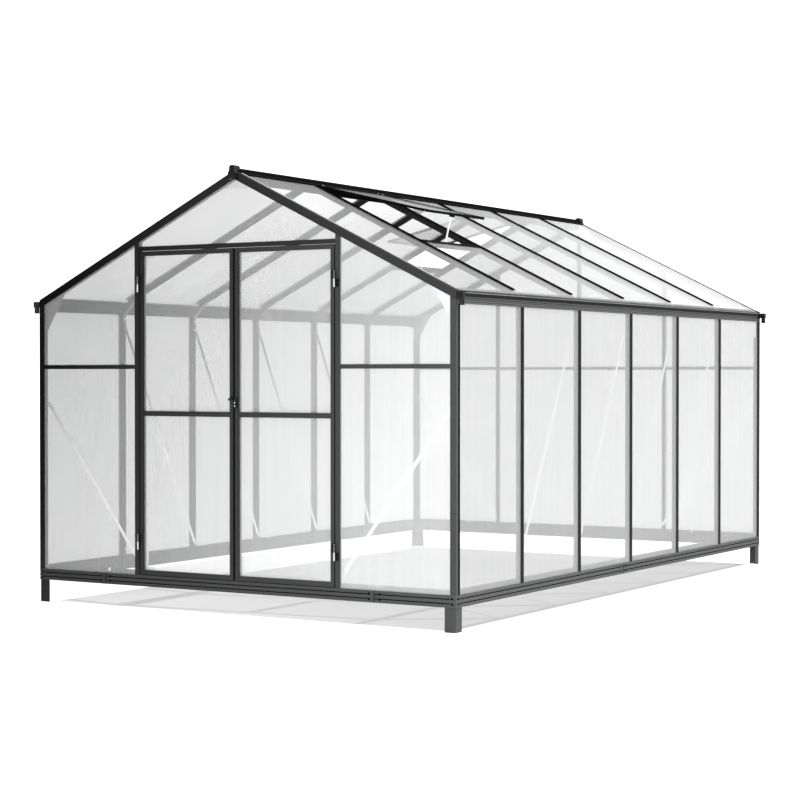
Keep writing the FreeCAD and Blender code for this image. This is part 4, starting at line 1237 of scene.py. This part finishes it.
@dataclass
class DoorLeaf(Trim):
    """Fittings of one door leaf: corner plates, their screws, edge flaps of painted shade and
    meeting seal.
    """

    side: Side
    stile: float = 0.024
    leg: float = 0.052
    plate: float = 0.0015
    plate_rim: float = 0.003
    press: float = 0.0005
    lap: float = 0.012
    near_screw: float = 0.012
    elbow_screw: float = 0.030
    far_screw: float = 0.062
    bead: float = 0.0030
    bead_rise: float = 0.0008
    flap_trim: float = 0.001
    seal_inner: float = 0.0012
    seal_outer: float = 0.0010
    seal_half: float = 0.003
    seal_trim: float = 0.002
    bulb: float = 0.0004
    head: ScrewHead = field(default_factory=lambda: ScrewHead(0.0042, 0.0022))

    @property
    def body(self) -> str:
        """The CAD body that the leaf belongs to."""
        return f"{self.side.label}_door"

    def corner_plate(self) -> bpy.types.Object:
        """Model an L-shaped plate with a pressed rim.

        Returns:
            The plate, with its corner on the origin and its face towards -Y.
        """
        wide = self.stile + self.lap
        reach = self.leg + self.stile
        piece = Bench.block(f"{self.body}_corner_plates", (0, 0, 0), (wide, self.plate, reach))
        Bench.pick(piece, lambda middle, normal: normal.z < -0.9)
        Bench.pull((0, 0, -wide))
        Bench.pick(piece, lambda middle, normal: normal.x > 0.9 and middle.z < 0)
        Bench.pull((reach - wide, 0, 0))
        piece.data.transform(Matrix.Translation((0, 0, wide)))
        Bench.groove(piece, Vector((0, -1, 0)), self.plate_rim, self.press)
        Bench.soften(piece, 0.0004, 1)
        return piece

    def build(self) -> None:
        """Model the fittings from the leaf's own box."""
        low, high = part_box(f"{self.body}_stiles")
        near = min(abs(low.x), abs(high.x))
        far = max(abs(low.x), abs(high.x))
        self.corners(low, high, near, far)
        self.flaps(low, high, near, far)
        self.seal(low, high, near)

    def corners(self, low: Vector, high: Vector, near: float, far: float) -> None:
        """Plates inside the four corners of the leaf, and their screws.

        Args:
            low: lowest corner of the stiles.
            high: highest corner of the stiles.
            near: distance of the lock edge from the middle of the doorway.
            far: distance of the hinge edge from the middle of the doorway.
        """
        sign = self.side.value
        back = high.y
        first, elbow, last = self.near_screw, self.elbow_screw, self.far_screw
        steps = ((first, first), (first, last), (last, first), (elbow, elbow))
        plates: List[Matrix] = []
        screws: List[Matrix] = []
        turn = Facing.OUT_Y.turn()
        for x, across in ((near, 1), (far, -1)):
            for z, along in ((low.z, 1), (high.z, -1)):
                flip = Matrix.Diagonal((sign * across, 1, along, 1))
                plates.append(Matrix.Translation((sign * x, back, z)) @ flip)
                for step_x, step_z in steps:
                    spot_x = sign * (x + across * step_x)
                    spot = (spot_x, back + self.plate, z + along * step_z)
                    screws.append(Matrix.Translation(spot) @ turn)
        plate = Bench.copy_to(self.corner_plate(), f"{self.body}_corner_plates", plates)
        self.keep(plate, "mill_plate", Slot.BRIGHT_METAL, self.body)
        head = self.head.build("corner_screw")
        heads = Bench.copy_to(head, f"{self.body}_corner_screws", screws)
        self.keep(heads, "zinc_fixing", Slot.FASTENER, self.body)

    def flaps(self, low: Vector, high: Vector, near: float, far: float) -> None:
        """Dark flaps that cover the gaps beside the leaf, down the hinge and lock edges: painted
        shade in the gaps.

        Args:
            low: lowest corner of the stiles.
            high: highest corner of the stiles.
            near: distance of the lock edge from the middle of the doorway.
            far: distance of the hinge edge from the middle of the doorway.
        """
        # Painted shade: black strips standing in for the shade in the gaps beside the leaf.
        half = self.bead / 2
        flap_low = (-half, low.y - self.bead_rise, low.z + self.flap_trim)
        flap_high = (half, low.y + self.bead_rise, high.z - self.flap_trim)
        flap = Bench.block("edge_flap", flap_low, flap_high)
        Bench.pick(flap, lambda middle, normal: normal.y < -0.9)
        bpy.ops.mesh.inset(thickness=self.bead * 0.2)
        bpy.ops.transform.translate(value=(0, -self.bead_rise * 0.3, 0))
        Bench.done()
        Bench.soften(flap, 0.0003, 2)
        rows = (near + half, far - half)
        places = [Matrix.Translation((self.side.value * row, 0, 0)) for row in rows]
        piece = Bench.copy_to(flap, f"{self.body}_edge_flaps", places)
        self.keep(piece, "dark_seal", Slot.BLACK_PLASTIC, self.body)

    def seal(self, low: Vector, high: Vector, near: float) -> None:
        """Soft bulb down the meeting edge of the leaf.

        Args:
            low: lowest corner of the stiles.
            high: highest corner of the stiles.
            near: distance of the lock edge from the middle of the doorway.
        """
        sign = self.side.value
        middle = (low.y + high.y) / 2
        edges = sorted((sign * (near - self.seal_inner), sign * (near + self.seal_outer)))
        seal_low = (edges[0], middle - self.seal_half, low.z + self.seal_trim)
        seal_high = (edges[1], middle + self.seal_half, high.z - self.seal_trim)
        seal = Bench.block(f"{self.body}_meeting_seal", seal_low, seal_high)
        Bench.groove(seal, Vector((-sign, 0, 0)), 0.0012, -self.bulb)
        Bench.soften(seal, 0.0004, 2)
        self.keep(seal, "dark_seal", Slot.BLACK_PLASTIC, self.body)


@dataclass
class HingeScrews(Trim):
    """Screws through both leaves of every hinge."""

    axis: float = 0.563
    face: float = -1.849
    leaf: float = 0.0125
    half_height: float = 0.0375
    steps: Tuple[float, ...] = (0.009, 0.028)
    head: ScrewHead = field(default_factory=lambda: ScrewHead(0.0034, 0.0018))

    def build(self) -> None:
        """Model one screw and set two on each leaf of each hinge."""
        low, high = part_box("hinge_fixed_leaves")
        middles = (low.z + self.half_height, high.z - self.half_height)
        turn = Facing.IN_Y.turn()
        for side in Side:
            for part, way in (("house", 1), ("door", -1)):
                across = side.value * (self.axis + way * self.leaf)
                heights = [middle - way * step for middle in middles for step in self.steps]
                spots = [Matrix.Translation((across, self.face, height)) for height in heights]
                name = f"{side.label}_{part}_hinge_screws"
                head = self.head.build("hinge_screw")
                piece = Bench.copy_to(head, name, [spot @ turn for spot in spots])
                body = part if part == "house" else f"{side.label}_{part}"
                self.keep(piece, "black_fixing", Slot.FASTENER, body)


@dataclass
class LatchTrim(Trim):
    """Bright studs on the latch lever and a raised grip at its end, clear of the keeper's lip."""

    stud: float = 0.0030
    stud_steps: Tuple[float, ...] = (0.0065, 0.0215)
    proud: float = 0.0007
    grip_half: float = 0.0045
    grip_start: float = 0.0005
    grip_end: float = 0.0030
    grip_root: float = 0.004

    def build(self) -> None:
        """Model the studs and the grip on the lever's face."""
        low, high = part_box("latch_lever")
        middle = (low.x + high.x) / 2
        turn = Facing.IN_Y.turn()
        spots = [(middle, low.y, low.z + step) for step in self.stud_steps]
        places = [Matrix.Translation(spot) @ turn for spot in spots]
        stud = ScrewHead(self.stud, self.proud, socket=0.30).build("latch_stud")
        studs = Bench.copy_to(stud, "latch_studs", places)
        self.keep(studs, "zinc_fixing", Slot.FASTENER, "latch")
        grip_low = (middle - self.grip_half, low.y - self.proud, low.z + self.grip_start)
        grip_high = (middle + self.grip_half, low.y + self.grip_root, low.z + self.grip_end)
        grip = Bench.block("latch_grip", grip_low, grip_high)
        Bench.groove(grip, Vector((0, -1, 0)), 0.0006, 0.0004)
        Bench.soften(grip, 0.0004, 2)
        self.keep(grip, "black_moulding", Slot.BLACK_PLASTIC, "latch")


@dataclass
class RoofTrim(Trim):
    """Edge profiles of the roof: sheet end strips, bar caps, gutter lips that paint a highlight,
    and gable seals.
    """

    slope: Slope = Slope()
    house: House = House()
    bar_half: float = 0.0142
    strip_run: float = 0.022
    strip_back: float = 0.0085
    strip_sink: float = -0.0030
    strip_wall: float = 0.0016
    cap_half: float = 0.0135
    cap_rise: float = 0.0032
    cap_start: float = 0.012
    cap_end: float = 0.003
    lip_height: float = 1.493
    lip_wide: float = 0.0030
    seal_inner: float = 0.031
    seal_outer: float = 0.024
    seal_start: float = 0.030
    seal_end: float = 0.016
    seal_rise: float = 0.0018

    def end_strips(self, side: Side) -> None:
        """U-shaped strips over the lower edge of every roof sheet of one side.

        Args:
            side: which slope.
        """
        half = self.house.bay / 2 - self.bar_half
        end = self.slope.length - self.strip_back
        low = (end - self.strip_run, -half, self.strip_sink)
        strip = Bench.block("sheet_end_strip", low, (end, half, self.strip_sink + self.strip_wall))
        Bench.groove(strip, Vector((0, 0, 1)), 0.004, -0.0005)
        Bench.pick(strip, lambda middle, normal: normal.x > 0.9)
        Bench.pull((0.0012, 0, -0.0003))
        Bench.soften(strip, 0.0003, 1)
        matrix = self.slope.matrix(side)
        lines = [self.house.line(n + 0.5) for n in range(self.house.bays)]
        places = [matrix @ Matrix.Translation((0, line, 0)) for line in lines]
        strips = Bench.copy_to(strip, f"sheet_end_strips_{side.label}", places)
        self.keep(strips, "grey_seal", Slot.BRIGHT_METAL)

    def bar_caps(self, side: Side) -> None:
        """Matt black caps pressed over the outer faces of the roof bars.

        Args:
            side: which slope.
        """
        low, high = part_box(f"roof_bars_{side.label}")
        level = self.slope.half_width / self.slope.length
        ends = sorted((abs(low.x) / level, abs(high.x) / level))
        cap_low = (ends[0] + self.cap_start, -self.cap_half, -0.0002)
        cap_high = (ends[1] - self.cap_end, self.cap_half, self.cap_rise)
        cap = Bench.block("roof_bar_cap", cap_low, cap_high)
        Bench.pick(cap, lambda middle, normal: normal.z > 0.9)
        bpy.ops.mesh.inset(thickness=self.cap_rise * 0.6)
        bpy.ops.transform.translate(value=(0, 0, self.cap_rise * 0.3))
        Bench.done()
        Bench.soften(cap, 0.0005, 1)
        matrix = self.slope.matrix(side)
        lines = [self.house.line(n) for n in range(1, self.house.bays)]
        places = [matrix @ Matrix.Translation((0, line, 0)) for line in lines]
        caps = Bench.copy_to(cap, f"roof_bar_caps_{side.label}", places)
        self.keep(caps, "cap_coat", Slot.FRAME_PAINT)

    def gutter_lip(self, side: Side) -> None:
        """Rolled lip along the outer edge of a gutter, in pale grey: a painted highlight on the
        gutter's edge.

        Args:
            side: which gutter.
        """
        low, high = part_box(f"eave_rail_{side.label}")
        outer = high.x if side is Side.RIGHT else -low.x
        # Painted highlight: a pale strip along the gutter's outer edge.
        bar_low = (outer - self.lip_wide, low.y + 0.001, self.lip_height - self.lip_wide)
        bar_high = (outer + 0.0006, high.y - 0.001, self.lip_height + 0.0008)
        roll = Bench.block(f"gutter_lip_{side.label}", bar_low, bar_high)
        Bench.groove(roll, Vector((1, 0, 0)), 0.0010, -0.0005)
        Bench.soften(roll, 0.0007, 3)
        mirror = Matrix.Diagonal((side.value, 1, 1, 1))
        lip = Bench.copy_to(roll, f"gutter_lip_{side.label}", [mirror])
        self.keep(lip, "grey_seal", Slot.BRIGHT_METAL)

    def gable_seals(self, end: End) -> None:
        """Pale seals down both rafters of a gable, where the roof sheets meet it.

        Args:
            end: which gable.
        """
        inner = end.value * (self.house.half_length - self.seal_inner)
        outer = end.value * (self.house.half_length - self.seal_outer)
        low_y, high_y = sorted((inner, outer))
        strip_low = (self.seal_start, low_y, -0.0006)
        strip_high = (self.slope.length - self.seal_end, high_y, self.seal_rise)
        seal = Bench.block("gable_seal", strip_low, strip_high)
        Bench.groove(seal, Vector((0, 0, 1)), 0.0016, -0.0010)
        Bench.soften(seal, 0.0005, 2)
        right = self.slope.matrix(Side.RIGHT)
        places = [right, Matrix.Diagonal((-1, 1, 1, 1)) @ right]
        seals = Bench.copy_to(seal, f"gable_seals_{end.name.lower()}", places)
        self.keep(seals, "pale_seal", Slot.BRIGHT_METAL)

    def build(self) -> None:
        """Model every profile."""
        for side in Side:
            self.end_strips(side)
            self.bar_caps(side)
            self.gutter_lip(side)
        for end in End:
            self.gable_seals(end)


@dataclass
class RailTrim(Trim):
    """Black inserts in the base rails' grooves and gaskets at joints, both painted shade; clips at
    joints; ribs on the eaves in a lighter coat, a painted highlight.
    """

    house: House = House()
    rail_low: float = 0.110
    rail_high: float = 0.164
    grooves: Tuple[float, ...] = (0.12725, 0.14725)
    insert: float = 0.0021
    recess: float = 0.0004
    groove_depth: float = 0.0012
    clear: float = 0.034
    joint_clear: float = 0.004
    corner_clear: float = 0.032
    gasket: float = 0.0016
    gasket_trim: float = 0.001
    rail_depth: float = 0.033
    flange_top: float = 0.185
    clip: float = 0.006
    clip_wall: float = 0.0012
    clip_depth: float = 0.0052
    clip_leg: float = 0.014
    ribs: Tuple[float, ...] = (1.4480, 1.4560, 1.4640, 1.4720)
    rib: float = 0.0028
    rib_root: float = 0.0006
    rib_rise: float = 0.0008
    rib_trim: float = 0.002

    def insert_strip(self, start: float, end: float, outward: float) -> bpy.types.Object:
        """One insert along X in a face that looks towards -Y: a black strip of painted shade in a
        groove.

        Args:
            start: where it starts.
            end: where it ends.
            outward: distance of the rail's face from the middle.

        Returns:
            The strip, at the height of the origin.
        """
        low = (start, -outward + self.recess, -self.insert)
        high = (end, -outward + self.groove_depth, self.insert)
        strip = Bench.block("groove_insert", low, high)
        Bench.groove(strip, Vector((0, -1, 0)), self.insert * 0.5, 0.0002)
        return strip

    def runs(self, splices: Sequence[float], half: float) -> List[Tuple[float, float]]:
        """Lengths of grooved rail between the corners and the joints.

        Args:
            splices: places of the joints.
            half: half the length of the whole side.

        Returns:
            Start and end of each length.
        """
        marks = [-half + self.corner_clear]
        for splice in sorted(splices):
            marks += [splice - self.clear, splice + self.joint_clear]
        marks.append(half - self.corner_clear)
        return [(marks[i], marks[i + 1]) for i in range(0, len(marks), 2)]

    def build(self) -> None:
        """Model the inserts, gaskets, clips and ribs."""
        strips: List[bpy.types.Object] = []
        joints: List[Matrix] = []
        quarter = Matrix.Rotation(math.pi / 2, 4, "Z")
        half_turn = Matrix.Rotation(math.pi, 4, "Z")
        wide, long = self.house.half_width, self.house.half_length
        front = (-self.house.front_splice, self.house.front_splice)
        side = (-self.house.side_splice,)
        faces = (
            (Matrix.Identity(4), wide, long, front),
            (half_turn, wide, long, front),
            (quarter, long, wide, side),
            (quarter @ half_turn, long, wide, side),
        )
        for number, (turn, half, outward, splices) in enumerate(faces):
            for step, (start, end) in enumerate(self.runs(splices, half)):
                places = [turn @ Matrix.Translation((0, 0, height)) for height in self.grooves]
                strip = self.insert_strip(start, end, outward)
                strips.append(Bench.copy_to(strip, f"strip_{number}_{step}", places))
            joints += [turn @ Matrix.Translation((splice, -outward, 0)) for splice in splices]
        # The black inserts are painted shade in the rails' grooves.
        inserts = Bench.join(strips, strips[0])
        inserts.name = "groove_inserts"
        self.keep(inserts, "dark_seal", Slot.BLACK_PLASTIC)
        self.joint_gaskets(joints)
        self.sill_clips(joints)
        for eave in Side:
            self.eave_ribs(eave)

    def joint_gaskets(self, joints: Sequence[Matrix]) -> None:
        """Black gaskets in the rail joints: painted shade in the joints' gaps.

        Args:
            joints: places of the joints on the outer faces, each with -Y outwards.
        """
        # Painted shade: a black strip in each joint's gap.
        low = (-self.gasket, -self.recess, self.rail_low + self.gasket_trim)
        high = (self.gasket, self.groove_depth, self.rail_high - self.gasket_trim)
        gasket = Bench.block("joint_gaskets", low, high)
        Bench.groove(gasket, Vector((0, -1, 0)), self.gasket * 0.4, -self.recess)
        gaskets = Bench.copy_to(gasket, "joint_gaskets", joints)
        self.keep(gaskets, "dark_seal", Slot.BLACK_PLASTIC)

    def sill_clips(self, joints: Sequence[Matrix]) -> None:
        """Bright spring clips over the inner flange of the rails, one at each joint.

        Args:
            joints: places of the joints on the outer faces, each with -Y outwards.
        """
        crest = self.flange_top - self.rail_low
        back = self.rail_depth
        clip_low = (-self.clip, back - self.clip_depth, crest - self.clip_leg)
        clip_high = (self.clip, back + self.clip_wall, crest + self.clip_wall)
        clip = Bench.block("sill_clip", clip_low, clip_high)
        Bench.pick(clip, lambda middle, normal: normal.y < -0.9)
        bpy.ops.mesh.inset(thickness=self.clip_wall)
        bpy.ops.transform.translate(value=(0, 0.0008, 0))
        Bench.done()
        Bench.groove(clip, Vector((0, 0, 1)), self.clip_wall, -0.0006)
        Bench.soften(clip, 0.0004, 2)
        places = [joint @ Matrix.Translation((0, 0, self.rail_low)) for joint in joints]
        clips = Bench.copy_to(clip, "sill_clips", places)
        self.keep(clips, "mill_plate", Slot.BRIGHT_METAL)

    def eave_ribs(self, side: Side) -> None:
        """Raised ribs between the grooves of one eave rail, in a lighter coat than the rail:
        painted highlight.

        Args:
            side: which eave.
        """
        low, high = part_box(f"eave_rail_{side.label}")
        face = self.house.half_width
        bar_low = (face - self.rib_root, low.y + self.rib_trim, -self.rib)
        bar_high = (face + self.rib_rise, high.y - self.rib_trim, self.rib)
        bar = Bench.block("eave_rib", bar_low, bar_high)
        Bench.groove(bar, Vector((1, 0, 0)), self.rib * 0.4, -0.0003)
        mirror = Matrix.Diagonal((side.value, 1, 1, 1))
        places = [mirror @ Matrix.Translation((0, 0, height)) for height in self.ribs]
        ribs = Bench.copy_to(bar, f"eave_ribs_{side.label}", places)
        # The ribs take a lighter coat than the rail: painted highlight.
        self.keep(ribs, "rib_coat", Slot.FRAME_PAINT)


@dataclass
class PostTrim(Trim):
    """Raised ribs on the end faces of the corner posts and black flaps on their sides."""

    house: House = House()
    rib: float = 0.0030
    rib_insets: Tuple[float, ...] = (0.0065, 0.0235)
    rib_trim: float = 0.030
    rib_rise: float = 0.0012
    rib_root: float = 0.0010
    flap_start: float = 0.021
    flap_end: float = 0.034
    flap_root: float = 0.0008
    flap_rise: float = 0.0014
    flap_trim: float = 0.002
    flap_top: float = 1.440

    def build(self) -> None:
        """Model the ribs and flaps of the four posts."""
        low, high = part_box("corner_posts")
        self.ribs(low.z + self.rib_trim, high.z - self.rib_trim)
        self.side_flaps(low.z + self.flap_trim, self.flap_top)

    def ribs(self, bottom: float, top: float) -> None:
        """Two ribs down the end face of every post.

        Args:
            bottom: lower end.
            top: upper end.
        """
        front = self.house.half_length
        bar_low = (-self.rib / 2, -front - self.rib_rise, bottom)
        bar_high = (self.rib / 2, -front + self.rib_root, top)
        rib = Bench.block("post_rib", bar_low, bar_high)
        Bench.groove(rib, Vector((0, -1, 0)), self.rib * 0.25, -0.0004)
        Bench.soften(rib, 0.0003, 2)
        places: List[Matrix] = []
        for side in Side:
            for end in End:
                for inset in self.rib_insets:
                    across = side.value * (self.house.half_width - inset)
                    shift = Matrix.Translation((across, 0, 0))
                    places.append(shift @ Matrix.Diagonal((1, -end.value, 1, 1)))
        piece = Bench.copy_to(rib, "post_ribs", places)
        self.keep(piece, "front_coat", Slot.FRAME_PAINT)

    def side_flaps(self, bottom: float, top: float) -> None:
        """Black flaps down the outer sides of the posts, over the edges of the wall sheets.

        Args:
            bottom: lower end.
            top: upper end.
        """
        front, side_face = -self.house.half_length, self.house.half_width
        flap_low = (side_face - self.flap_root, front + self.flap_start, bottom)
        flap_high = (side_face + self.flap_rise, front + self.flap_end, top)
        flap = Bench.block("post_side_flaps", flap_low, flap_high)
        Bench.groove(flap, Vector((1, 0, 0)), 0.003, 0.0006)
        Bench.soften(flap, 0.0004, 2)
        places = [Matrix.Diagonal((side.value, -end.value, 1, 1)) for side in Side for end in End]
        piece = Bench.copy_to(flap, "post_side_flaps", places)
        self.keep(piece, "dark_seal", Slot.BLACK_PLASTIC)


@dataclass
class VentTrim(Trim):
    """Corner keys and screws of one vent sash."""

    side: Side
    slope: Slope = Slope()
    propped: float = math.radians(12.8)
    face: float = 0.005
    half: float = 0.2875
    start: float = 0.0105
    end: float = 0.648
    key_long: float = 0.034
    key_wide: float = 0.016
    key_wall: float = 0.0016
    key_reach: float = 0.018
    key_taper: float = 0.47
    screw_spots: Tuple[Tuple[float, float], ...] = ((0.026, 0.008), (0.008, 0.026))
    screw_sink: float = 0.0012
    head: ScrewHead = field(default_factory=lambda: ScrewHead(0.0030, 0.0018))

    @property
    def body(self) -> str:
        """The CAD body that the sash belongs to."""
        return f"{self.side.label}_vent"

    def sash_frame(self) -> Matrix:
        """Frame of the propped sash.

        Returns:
            X down the sash, Y level and Z off it, with the origin on the hinge line.
        """
        joint = next(j for j in frame["joints"] if j["name"] == f"{self.body}_tilt")
        turn = Matrix.Rotation(self.slope.fall - self.propped, 4, "Y")
        return Matrix.Translation(joint["pos_m"]) @ self.side.half_turn() @ turn

    def corner_key(self) -> bpy.types.Object:
        """Model an L-shaped key with its corner on the origin.

        Returns:
            The key, with its legs along X and Y.
        """
        key = Bench.block("sash_key", (0, 0, 0), (self.key_long, self.key_wide, self.key_wall))
        Bench.pick(key, lambda middle, normal: normal.y > 0.9)
        bpy.ops.mesh.extrude_region_move(
            TRANSFORM_OT_translate={"value": (0, self.key_reach, 0)}
        )
        bpy.ops.transform.resize(value=(self.key_taper, 1, 1), center_override=(0, 0, 0))
        Bench.done()
        Bench.groove(key, Vector((0, 0, 1)), 0.0022, 0.0004)
        Bench.soften(key, 0.0004, 1)
        return key

    def build(self) -> None:
        """Model the keys and screws in the sash's own frame."""
        matrix = self.sash_frame()
        keys: List[Matrix] = []
        screws: List[Matrix] = []
        for run, along in ((self.start, 1), (self.end, -1)):
            for edge in (1, -1):
                corner = Matrix.Translation((run, edge * self.half, self.face))
                keys.append(matrix @ (corner @ Matrix.Diagonal((along, -edge, 1, 1))))
                for step_x, step_y in self.screw_spots:
                    x, y = run + along * step_x, edge * (self.half - step_y)
                    spot = (x, y, self.face + self.screw_sink)
                    screws.append(matrix @ Matrix.Translation(spot))
        piece = Bench.copy_to(self.corner_key(), f"{self.body}_corner_keys", keys)
        self.keep(piece, "roof_coat", Slot.FRAME_PAINT, self.body)
        head = self.head.build("sash_screw")
        piece = Bench.copy_to(head, f"{self.body}_corner_screws", screws)
        self.keep(piece, "zinc_fixing", Slot.FASTENER, self.body)


# ---- studio ----


@dataclass
class Studio:
    """Plain white floor, sun, softbox, surrounding light and the camera."""

    floor_half: float = 60.0
    floor_drop: float = 0.0005
    backdrop: float = 1.60
    ambient: float = 0.12
    ambient_slope: Colour = (0.28, 0.24, 0.72)
    ambient_range: Tuple[float, float] = (0.06, 1.6)
    sun_energy: float = 3.4
    sun_spread: float = 0.8
    sun_turn: Colour = (-14, 20, 0)
    box_energy: float = 170.0
    box_size: Tuple[float, float] = (6.0, 3.5)
    box_place: Colour = (2.2, -8.6, 3.2)
    box_target: Colour = (0.6, 0, 1.0)
    camera_place: Colour = (5.418, -9.361, 1.137)
    camera_yaw: float = 30.99
    camera_pitch: float = -0.774
    lens: float = 88.9
    sensor: float = 36.0
    far_clip: float = 200.0

    def build(self) -> None:
        """Make the floor, lights, world and camera."""
        self.floor()
        self.world()
        self.lights()
        self.camera()
        bpy.context.scene.view_settings.view_transform = "Standard"
        LOG.info("studio")

    def floor(self) -> None:
        """A wide white floor that isn't part of the house."""
        Bench.clear()
        place = (0, 0, -self.floor_drop)
        bpy.ops.mesh.primitive_plane_add(size=self.floor_half * 2, location=place)
        floor = Bench.settle("studio_floor")
        floor.data.materials.append(StudioPaint("studio_floor").material())

    def world(self) -> None:
        """Soft light from all round, brighter from above; plain white behind the house."""
        world = bpy.data.worlds.new("studio")
        world.use_nodes = True
        bpy.context.scene.world = world
        graph = Graph(world.node_tree)
        way = graph.node("ShaderNodeTexCoord", {}, {}, "Generated")
        parts = [graph.node("ShaderNodeSeparateXYZ", {}, {"Vector": way}, axis) for axis in "XYZ"]
        x, y, z = (part * slope for part, slope in zip(parts, self.ambient_slope))
        light = (self.ambient + x + y + z).clamp(*self.ambient_range)
        seen = graph.node("ShaderNodeLightPath", {}, {}, "Is Camera Ray")
        strength = light * (1.0 - seen) + seen * self.backdrop
        inputs = {"Color": (1.0, 1.0, 1.0, 1.0), "Strength": strength}
        background = graph.node("ShaderNodeBackground", {}, inputs)
        graph.node("ShaderNodeOutputWorld", {}, {"Surface": background})

    def place_object(
        self, name: str, data: bpy.types.ID, place: Sequence[float], turn: Sequence[float]
    ) -> bpy.types.Object:
        """Link a light or camera into the scene.

        Args:
            name: name of the object.
            data: the light or camera.
            place: where it stands.
            turn: Euler angles in radians.

        Returns:
            The object.
        """
        placed = bpy.data.objects.new(name, data)
        placed.location = place
        placed.rotation_euler = turn
        bpy.context.scene.collection.objects.link(placed)
        return placed

    def lights(self) -> None:
        """A sharp sun for the shadows on the floor and a wide softbox at the front."""
        sun = bpy.data.lights.new("soft_sun", "SUN")
        sun.energy = self.sun_energy
        sun.angle = math.radians(self.sun_spread)
        turn = [math.radians(angle) for angle in self.sun_turn]
        self.place_object("soft_sun", sun, (0, 0, 0), turn)
        box = bpy.data.lights.new("front_softbox", "AREA")
        box.shape = "RECTANGLE"
        box.size, box.size_y = self.box_size
        box.energy = self.box_energy
        place = Vector(self.box_place)
        aim = (Vector(self.box_target) - place).to_track_quat("-Z", "Y").to_euler()
        self.place_object("front_softbox", box, place, aim)

    def camera(self) -> None:
        """The camera, in front of the right corner at a little above the latch."""
        camera = bpy.data.cameras.new("camera")
        camera.lens = self.lens
        camera.sensor_width = self.sensor
        camera.clip_end = self.far_clip
        turn = (math.radians(90 + self.camera_pitch), 0, math.radians(self.camera_yaw))
        placed = self.place_object("camera", camera, self.camera_place, turn)
        bpy.context.scene.camera = placed


def main() -> None:
    """Build the house's looks, piece by piece."""
    logging.basicConfig(level=logging.INFO, format="%(message)s")
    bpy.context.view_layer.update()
    finishes = Finishes()
    finishes.prepare()
    assemblies = [
        FrameCoats(),
        BaseFixings(),
        FrameBolts(),
        DoorLeaf(Side.RIGHT),
        DoorLeaf(Side.LEFT),
        HingeScrews(),
        LatchTrim(),
        RoofTrim(),
        RailTrim(),
        PostTrim(),
        VentTrim(Side.RIGHT),
        VentTrim(Side.LEFT),
    ]
    for assembly in assemblies:
        assembly.build()
        assembly.dress(finishes)
    Studio().build()


if __name__ == "__main__":
    main()
